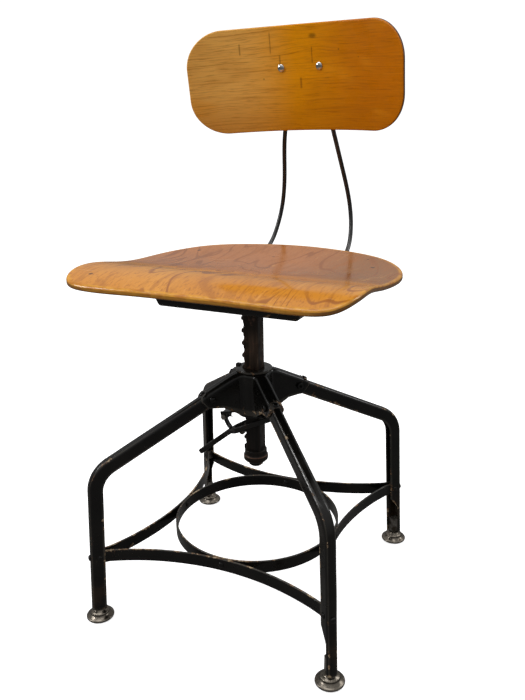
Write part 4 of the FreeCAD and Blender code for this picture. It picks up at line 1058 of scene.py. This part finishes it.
def back_wood():
    """Varnished ply with level grain: honey orange, painted paler and pinker at the left end as painted light and
    highlight and browner at the right end as painted shade, fine red-brown lines, a small dark knot, faint crossing
    scratches, and a dark side edge."""
    m = Nodes("back_plywood_aged")
    wide, high = m.times(m.attr("wide"), 0.001), m.times(m.attr("high"), 0.001)
    flat = m.join(wide, high, 0.0)
    drift = m.times(m.minus(m.noise(6, 2, stretch=(1, 1.2, 1), vector=flat), 0.5), 0.013)
    knot_d = m.away(wide, high, 0.022, 0.058, 3.0)
    pull = m.times(m.ramp(knot_d, 0.06, 0.0), m.times(m.minus(high, 0.058), 0.55))
    bent = m.join(wide, m.plus(m.plus(high, drift), pull), 0.0)
    bands = m.noise(34, 4, 0.6, 0.2, (0.10, 1.35, 1), vector=bent)
    lines = m.noise(330, 4, 0.66, 0.05, (0.022, 1.4, 1), vector=bent)
    fine = m.noise(620, 2, 0.6, 0, (0.05, 1.0, 1), vector=bent)
    # painted light and shade: from left to right the ply goes from pale pink-orange, as lit and highlighted, to brown,
    # as shaded
    across = m.ramp(wide, -0.165, 0.16)
    base = m.mix(m.ramp(across, 0.05, 0.5), srgb(255, 194, 98), srgb(242, 158, 10))
    base = m.mix(m.ramp(across, 0.45, 1.0), base, srgb(206, 118, 2))
    base = m.stain(base, high, 0.0, -0.075, 0.55, srgb(184, 108, 2))
    cloud = m.noise(13, 3, 0.55, 0.4, (0.6, 1.3, 1), vector=flat)
    base = m.stain(base, cloud, 0.5, 0.72, 0.3, srgb(186, 110, 2))
    base = m.stain(base, cloud, 0.44, 0.3, 0.4, srgb(244, 162, 34))
    tone = m.stain(base, bands, 0.50, 0.72, 0.28, srgb(180, 102, 2))
    tone = m.stain(tone, lines, 0.50, 0.66, 0.5, srgb(164, 92, 8))
    tone = m.stain(tone, lines, 0.44, 0.30, 0.25, srgb(244, 168, 50))
    tone = m.stain(tone, fine, 0.52, 0.70, 0.4, srgb(140, 74, 2))
    tone = m.stain(tone, knot_d, 0.009, 0.002, 0.6, srgb(86, 60, 4))
    tone = m.stain(tone, m.cells(30, (1, 1, 1), vector=flat), 0.06, 0.02, 0.6, srgb(96, 52, 8))
    scratches = ((-0.046, 0.052, 0.0009, 0.017), (-0.093, 0.046, 0.001, 0.009), (-0.032, 0.024, 0.0012, 0.012),
                 (0.020, 0.032, 0.0009, 0.013), (0.0, -0.006, 0.0016, 0.009))
    for sx, sy, half_wide, half_high in scratches:
        a = m.ramp(m.math("ABSOLUTE", m.minus(wide, sx)), half_wide * 1.6, half_wide * 0.4)
        b = m.ramp(m.math("ABSOLUTE", m.minus(high, sy)), half_high, half_high * 0.7)
        tone = m.mix(m.times(m.times(a, b), 0.5), tone, srgb(104, 52, 10))
    edge, depth = m.attr("edge"), m.attr("depth")
    ply = m.mix(m.ramp(m.math("SINE", m.times(depth, 36)), -0.4, 0.5), srgb(92, 44, 20), srgb(60, 26, 12))
    tone = m.mix(m.times(m.ramp(edge, 0.8, 0.98), m.ramp(depth, 0.04, 0.25)), tone, ply)
    rough = m.ramp(m.noise(40, 4, vector=flat), 0.3, 0.7, 0.24, 0.36)
    normal = m.bump(lines, 0.12, 0.0003)
    m.set(Base_Color=tone, Roughness=rough, Normal=normal, IOR=1.5, Specular_IOR_Level=0.12)
    return m.mat


def black_paint():
    """Thick old gloss black: orange peel, dust, brown thinning low down, and chips along edges that show cream primer
    with a rusty rim; a high edge weight also lays a pale grey line, a painted highlight."""
    m = Nodes("black_paint_worn_and_highlit")
    edge = m.attr("edge")
    patch = m.noise(11, 3, 0.6)
    chip_field = m.plus(m.times(m.noise(55, 5, 0.65, 0.4), 0.62), m.times(patch, 0.38))
    level = m.plus(chip_field, m.times(edge, 0.145))
    open_paint = m.ramp(level, 0.665, 0.69)
    rim = m.ramp(level, 0.64, 0.67)
    spots = m.ramp(m.plus(m.cells(330), m.times(m.noise(40, 2), 0.6)), 0.34, 0.30, 0, 0.5)
    base = m.mix(m.ramp(m.noise(18, 4), 0.35, 0.7), (0.0025, 0.0025, 0.0022), (0.009, 0.008, 0.0065))
    brown = m.times(m.attr("low"), m.ramp(m.noise(26, 4, 0.6), 0.42, 0.62))
    base = m.mix(m.times(brown, 0.6), base, (0.045, 0.026, 0.014))
    # painted highlight: a pale grey line along edges and rims where the edge weight is high, standing in for the gloss
    # highlight
    base = m.mix(m.times(m.ramp(edge, 0.45, 0.95), m.ramp(patch, 0.3, 0.6, 0.22, 0.7)), base, (0.105, 0.095, 0.08))
    base = m.mix(rim, base, (0.075, 0.036, 0.016))
    cream = m.mix(m.ramp(m.noise(240, 3), 0.4, 0.6), (0.52, 0.42, 0.28), (0.22, 0.12, 0.06))
    base = m.mix(open_paint, base, cream)
    base = m.mix(m.times(spots, m.ramp(patch, 0.45, 0.6)), base, (0.30, 0.24, 0.17))
    rough = m.plus(m.ramp(m.noise(75, 4), 0.3, 0.7, 0.15, 0.28), m.times(rim, 0.4))
    normal = m.bump(m.noise(260, 2), 0.12, 0.0003)
    normal = m.bump(m.noise(38, 2), 0.25, 0.0009, normal)
    normal = m.bump(m.minus(1.0, open_paint), 0.5, 0.0003, normal)
    m.set(Base_Color=base, Roughness=rough, Normal=normal, IOR=1.5, Specular_IOR_Level=0.34)
    return m.mat


def browned_steel():
    """Oil-darkened steel: brown black with upright streaks, rubbed paler tooth tips and rust in the grooves."""
    m = Nodes("browned_steel_oily")
    edge, z = m.attr("edge"), m.split()[2]
    streak = m.noise(120, 4, 0.6, stretch=(1, 1, 0.06))
    blot = m.noise(24, 4, 0.6, 0.5)
    base = m.mix(m.ramp(streak, 0.38, 0.64), (0.020, 0.012, 0.008), (0.125, 0.078, 0.052))
    base = m.stain(base, blot, 0.5, 0.7, 0.6, (0.060, 0.034, 0.020))
    base = m.mix(m.times(m.ramp(edge, 0.5, 0.9), m.ramp(blot, 0.35, 0.6)), base, (0.19, 0.14, 0.10))
    base = m.stain(base, z, 0.405, 0.435, 0.85, (0.008, 0.007, 0.006))
    base = m.stain(base, z, 0.300, 0.285, 0.88, (0.009, 0.0085, 0.008))
    rusty = m.times(m.ramp(m.noise(70, 5, 0.7), 0.55, 0.66), m.ramp(z, 0.285, 0.300, 0.1, 0.7))
    seam = m.ramp(m.math("ABSOLUTE", m.minus(z, 0.2234)), 0.0011, 0.0004, 0, 0.85)
    rusty = m.math("MAXIMUM", rusty, m.times(seam, m.ramp(blot, 0.3, 0.5)))
    base = m.mix(rusty, base, (0.11, 0.040, 0.014))
    rough = m.ramp(m.noise(90, 4), 0.3, 0.7, 0.30, 0.55)
    normal = m.bump(streak, 0.15, 0.0003)
    normal = m.bump(m.noise(170, 4), 0.2, 0.0003, normal)
    m.set(Base_Color=base, Roughness=rough, Metallic=m.ramp(rusty, 0.1, 0.5, 0.65, 0.1), Normal=normal)
    return m.mat


def plated(name, tint, rough_low, rough_high, dull, pits):
    """Plated metal with fine turning marks and spots of dull tarnish, dark on the nickel; edges with a high edge weight
    are lighter, a painted highlight.
    """
    m = Nodes(name)
    spots = m.noise(150, 5, 0.65)
    base = m.mix(m.ramp(m.noise(30, 3), 0.35, 0.7), tint, tuple(c * 0.72 for c in tint))
    base = m.stain(base, spots, 0.56, 0.68, pits, dull)
    # painted highlight: a high edge weight (the glides' rolled rims and beads) lightens the plating
    base = m.mix(m.times(m.ramp(m.attr("edge"), 0.4, 0.9), 0.35), base, tuple(min(1, c * 1.3) for c in tint))
    rough = m.ramp(spots, 0.35, 0.7, rough_low, rough_high)
    normal = m.bump(m.noise(500, 2, stretch=(1, 1, 3)), 0.06, 0.0002)
    m.set(Base_Color=base, Metallic=1.0, Roughness=rough, Normal=normal)
    return m.mat


def rod_enamel():
    """Black stove enamel on the sprung rods, rubbed to a warm brown sheen in places."""
    m = Nodes("rod_enamel_rubbed")
    rub = m.noise(16, 4, 0.6, stretch=(1, 1, 0.4))
    base = m.mix(m.ramp(rub, 0.48, 0.7, 0, 0.8), (0.006, 0.006, 0.006), (0.050, 0.030, 0.018))
    base = m.stain(base, m.noise(300, 3), 0.66, 0.72, 0.6, (0.16, 0.12, 0.08))
    normal = m.bump(m.noise(240, 2), 0.12, 0.0003)
    m.set(Base_Color=base, Roughness=m.ramp(rub, 0.3, 0.7, 0.22, 0.4), Normal=normal, Coat_Weight=0.25)
    return m.mat


def brushed_steel():
    """Plain machined steel with a film of old grease."""
    m = Nodes("bare_steel_greasy")
    grease = m.noise(60, 4)
    base = m.mix(m.ramp(grease, 0.45, 0.65), (0.34, 0.32, 0.29), (0.07, 0.055, 0.04))
    normal = m.bump(m.noise(350, 2, stretch=(1, 1, 4)), 0.1, 0.0002)
    m.set(Base_Color=base, Metallic=0.9, Roughness=m.ramp(grease, 0.3, 0.7, 0.28, 0.5), Normal=normal)
    return m.mat


def floor_paper():
    """Pale matt sweep paper with a barely visible tooth, which glows a little for the eye and throws back less
    light on the chair."""
    m = Nodes("pale_floor")
    seen = m.new("LightPath").outputs["Is Camera Ray"]
    base = m.mix(m.noise(40, 3), (0.93, 0.93, 0.93), (0.97, 0.97, 0.97))
    base = m.mix(seen, (0.16, 0.155, 0.15), base)
    m.set(Base_Color=base, Roughness=0.9, Emission_Color=(1, 1, 1, 1), Emission_Strength=m.times(seen, 0.68))
    return m.mat


# ---- scene

def dress(materials):
    """Every shown piece takes the material of its slot; CAD nodes keep their shape and take it too."""
    node_slot = {part["node"]: part["material_slot"] for part in frame["record"]["subparts"]}
    for obj in bpy.data.objects:
        if obj.type != "MESH" or obj.hide_render:
            continue
        key = obj.get("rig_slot") or node_slot[obj["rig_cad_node"]]
        obj.data.materials.clear()
        obj.data.materials.append(materials[key])


def camera():
    """The camera looks at the front of the chair from its right, a little above it and very slightly rolled."""
    pitch, roll, yaw, turn = (math.radians(a) for a in (20.13, -0.63, 1.71, 26.56))
    fwd = np.array([math.sin(yaw) * math.cos(pitch), math.cos(yaw) * math.cos(pitch), -math.sin(pitch)])
    right = np.array([math.cos(yaw), -math.sin(yaw), 0.0])
    up = np.cross(right, fwd)
    level = np.stack([math.cos(roll) * right + math.sin(roll) * up, math.cos(roll) * up - math.sin(roll) * right, -fwd])
    data = bpy.data.cameras.new("camera")
    data.lens, data.sensor_width, data.shift_x, data.shift_y = 36.85, 36.0, -0.0168, 0.0276
    obj = bpy.data.objects.new("camera", data)
    matrix = np.eye(4)
    matrix[:3, :3] = turn_z(level, math.degrees(turn)).T
    matrix[:3, 3] = (0.4503, -0.9198, 0.7316)
    obj.matrix_world = mathutils.Matrix(matrix.tolist())
    bpy.context.scene.collection.objects.link(obj)
    bpy.context.scene.camera = obj


def area_light(name, place, target, size, power):
    """A soft rectangular light aimed at a point."""
    data = bpy.data.lights.new(name, "AREA")
    data.shape, data.size, data.size_y, data.energy = "RECTANGLE", size[0], size[1], power
    obj = bpy.data.objects.new(name, data)
    obj.location = place
    obj.rotation_mode = "QUATERNION"
    obj.rotation_quaternion = (mathutils.Vector(target) - mathutils.Vector(place)).to_track_quat("-Z", "Y")
    bpy.context.scene.collection.objects.link(obj)


def surround():
    """Even white behind the object, and a dimmer room with a brighter ceiling for its light and reflections."""
    world = bpy.data.worlds.new("surround")
    world.use_nodes = True
    tree = world.node_tree
    back = tree.nodes["Background"]
    path, coord, split, climb, pick = (tree.nodes.new("ShaderNode" + kind) for kind in (
        "LightPath", "TexCoord", "SeparateXYZ", "MapRange", "Mix"))
    for k, value in ((1, -0.1), (2, 0.8), (3, 0.16), (4, 0.62)):
        climb.inputs[k].default_value = value
    pick.inputs[3].default_value = 1.1
    back.inputs[0].default_value = (1, 1, 1, 1)
    for start, stop in ((coord.outputs["Generated"], split.inputs[0]), (split.outputs[2], climb.inputs[0]),
                        (path.outputs["Is Camera Ray"], pick.inputs[0]), (climb.outputs[0], pick.inputs[2]),
                        (pick.outputs[0], back.inputs[1])):
        tree.links.new(start, stop)
    bpy.context.scene.world = world


def studio():
    """A pale floor, a bright even surround and large soft lights."""
    bpy.ops.mesh.primitive_grid_add(x_subdivisions=8, y_subdivisions=8, size=60, location=(0, 0, -0.0005))
    floor = bpy.context.object
    floor.name = "studio_floor"
    floor.data.materials.append(floor_paper())
    surround()
    area_light("top", (-0.2, -0.1, 2.3), (0, 0, 0.4), (1.3, 1.6), 15)
    area_light("key", (-1.4, -0.95, 1.5), (0, 0, 0.5), (0.16, 1.0), 13)
    area_light("rim", (1.3, 1.1, 1.5), (0, 0, 0.45), (0.5, 1.0), 7)
    bpy.context.scene.view_settings.view_transform = "Standard"


seat_board()
backrest_board()
for corner_name, leg_azimuth in LEGS.items():
    leg(corner_name, leg_azimuth)
straps()
base_rivets()
hub_shell()
hub_top_plate()
rack_post()
post_fittings()
glides()
release_fork()
seat_pan()
screws()
back_rods()
dress({
    "seat_plywood": seat_wood(), "back_plywood": back_wood(), "black_paint": black_paint(),
    "browned_steel": browned_steel(), "bare_steel": brushed_steel(), "rod_enamel": rod_enamel(),
    "nickel": plated("nickel_worn_and_highlit", (0.19, 0.168, 0.14), 0.16, 0.38, (0.022, 0.015, 0.010), 1.0),
    "chrome": plated("chrome_bright", (0.82, 0.82, 0.80), 0.05, 0.14, (0.4, 0.38, 0.35), 0.2),
})
camera()
studio()
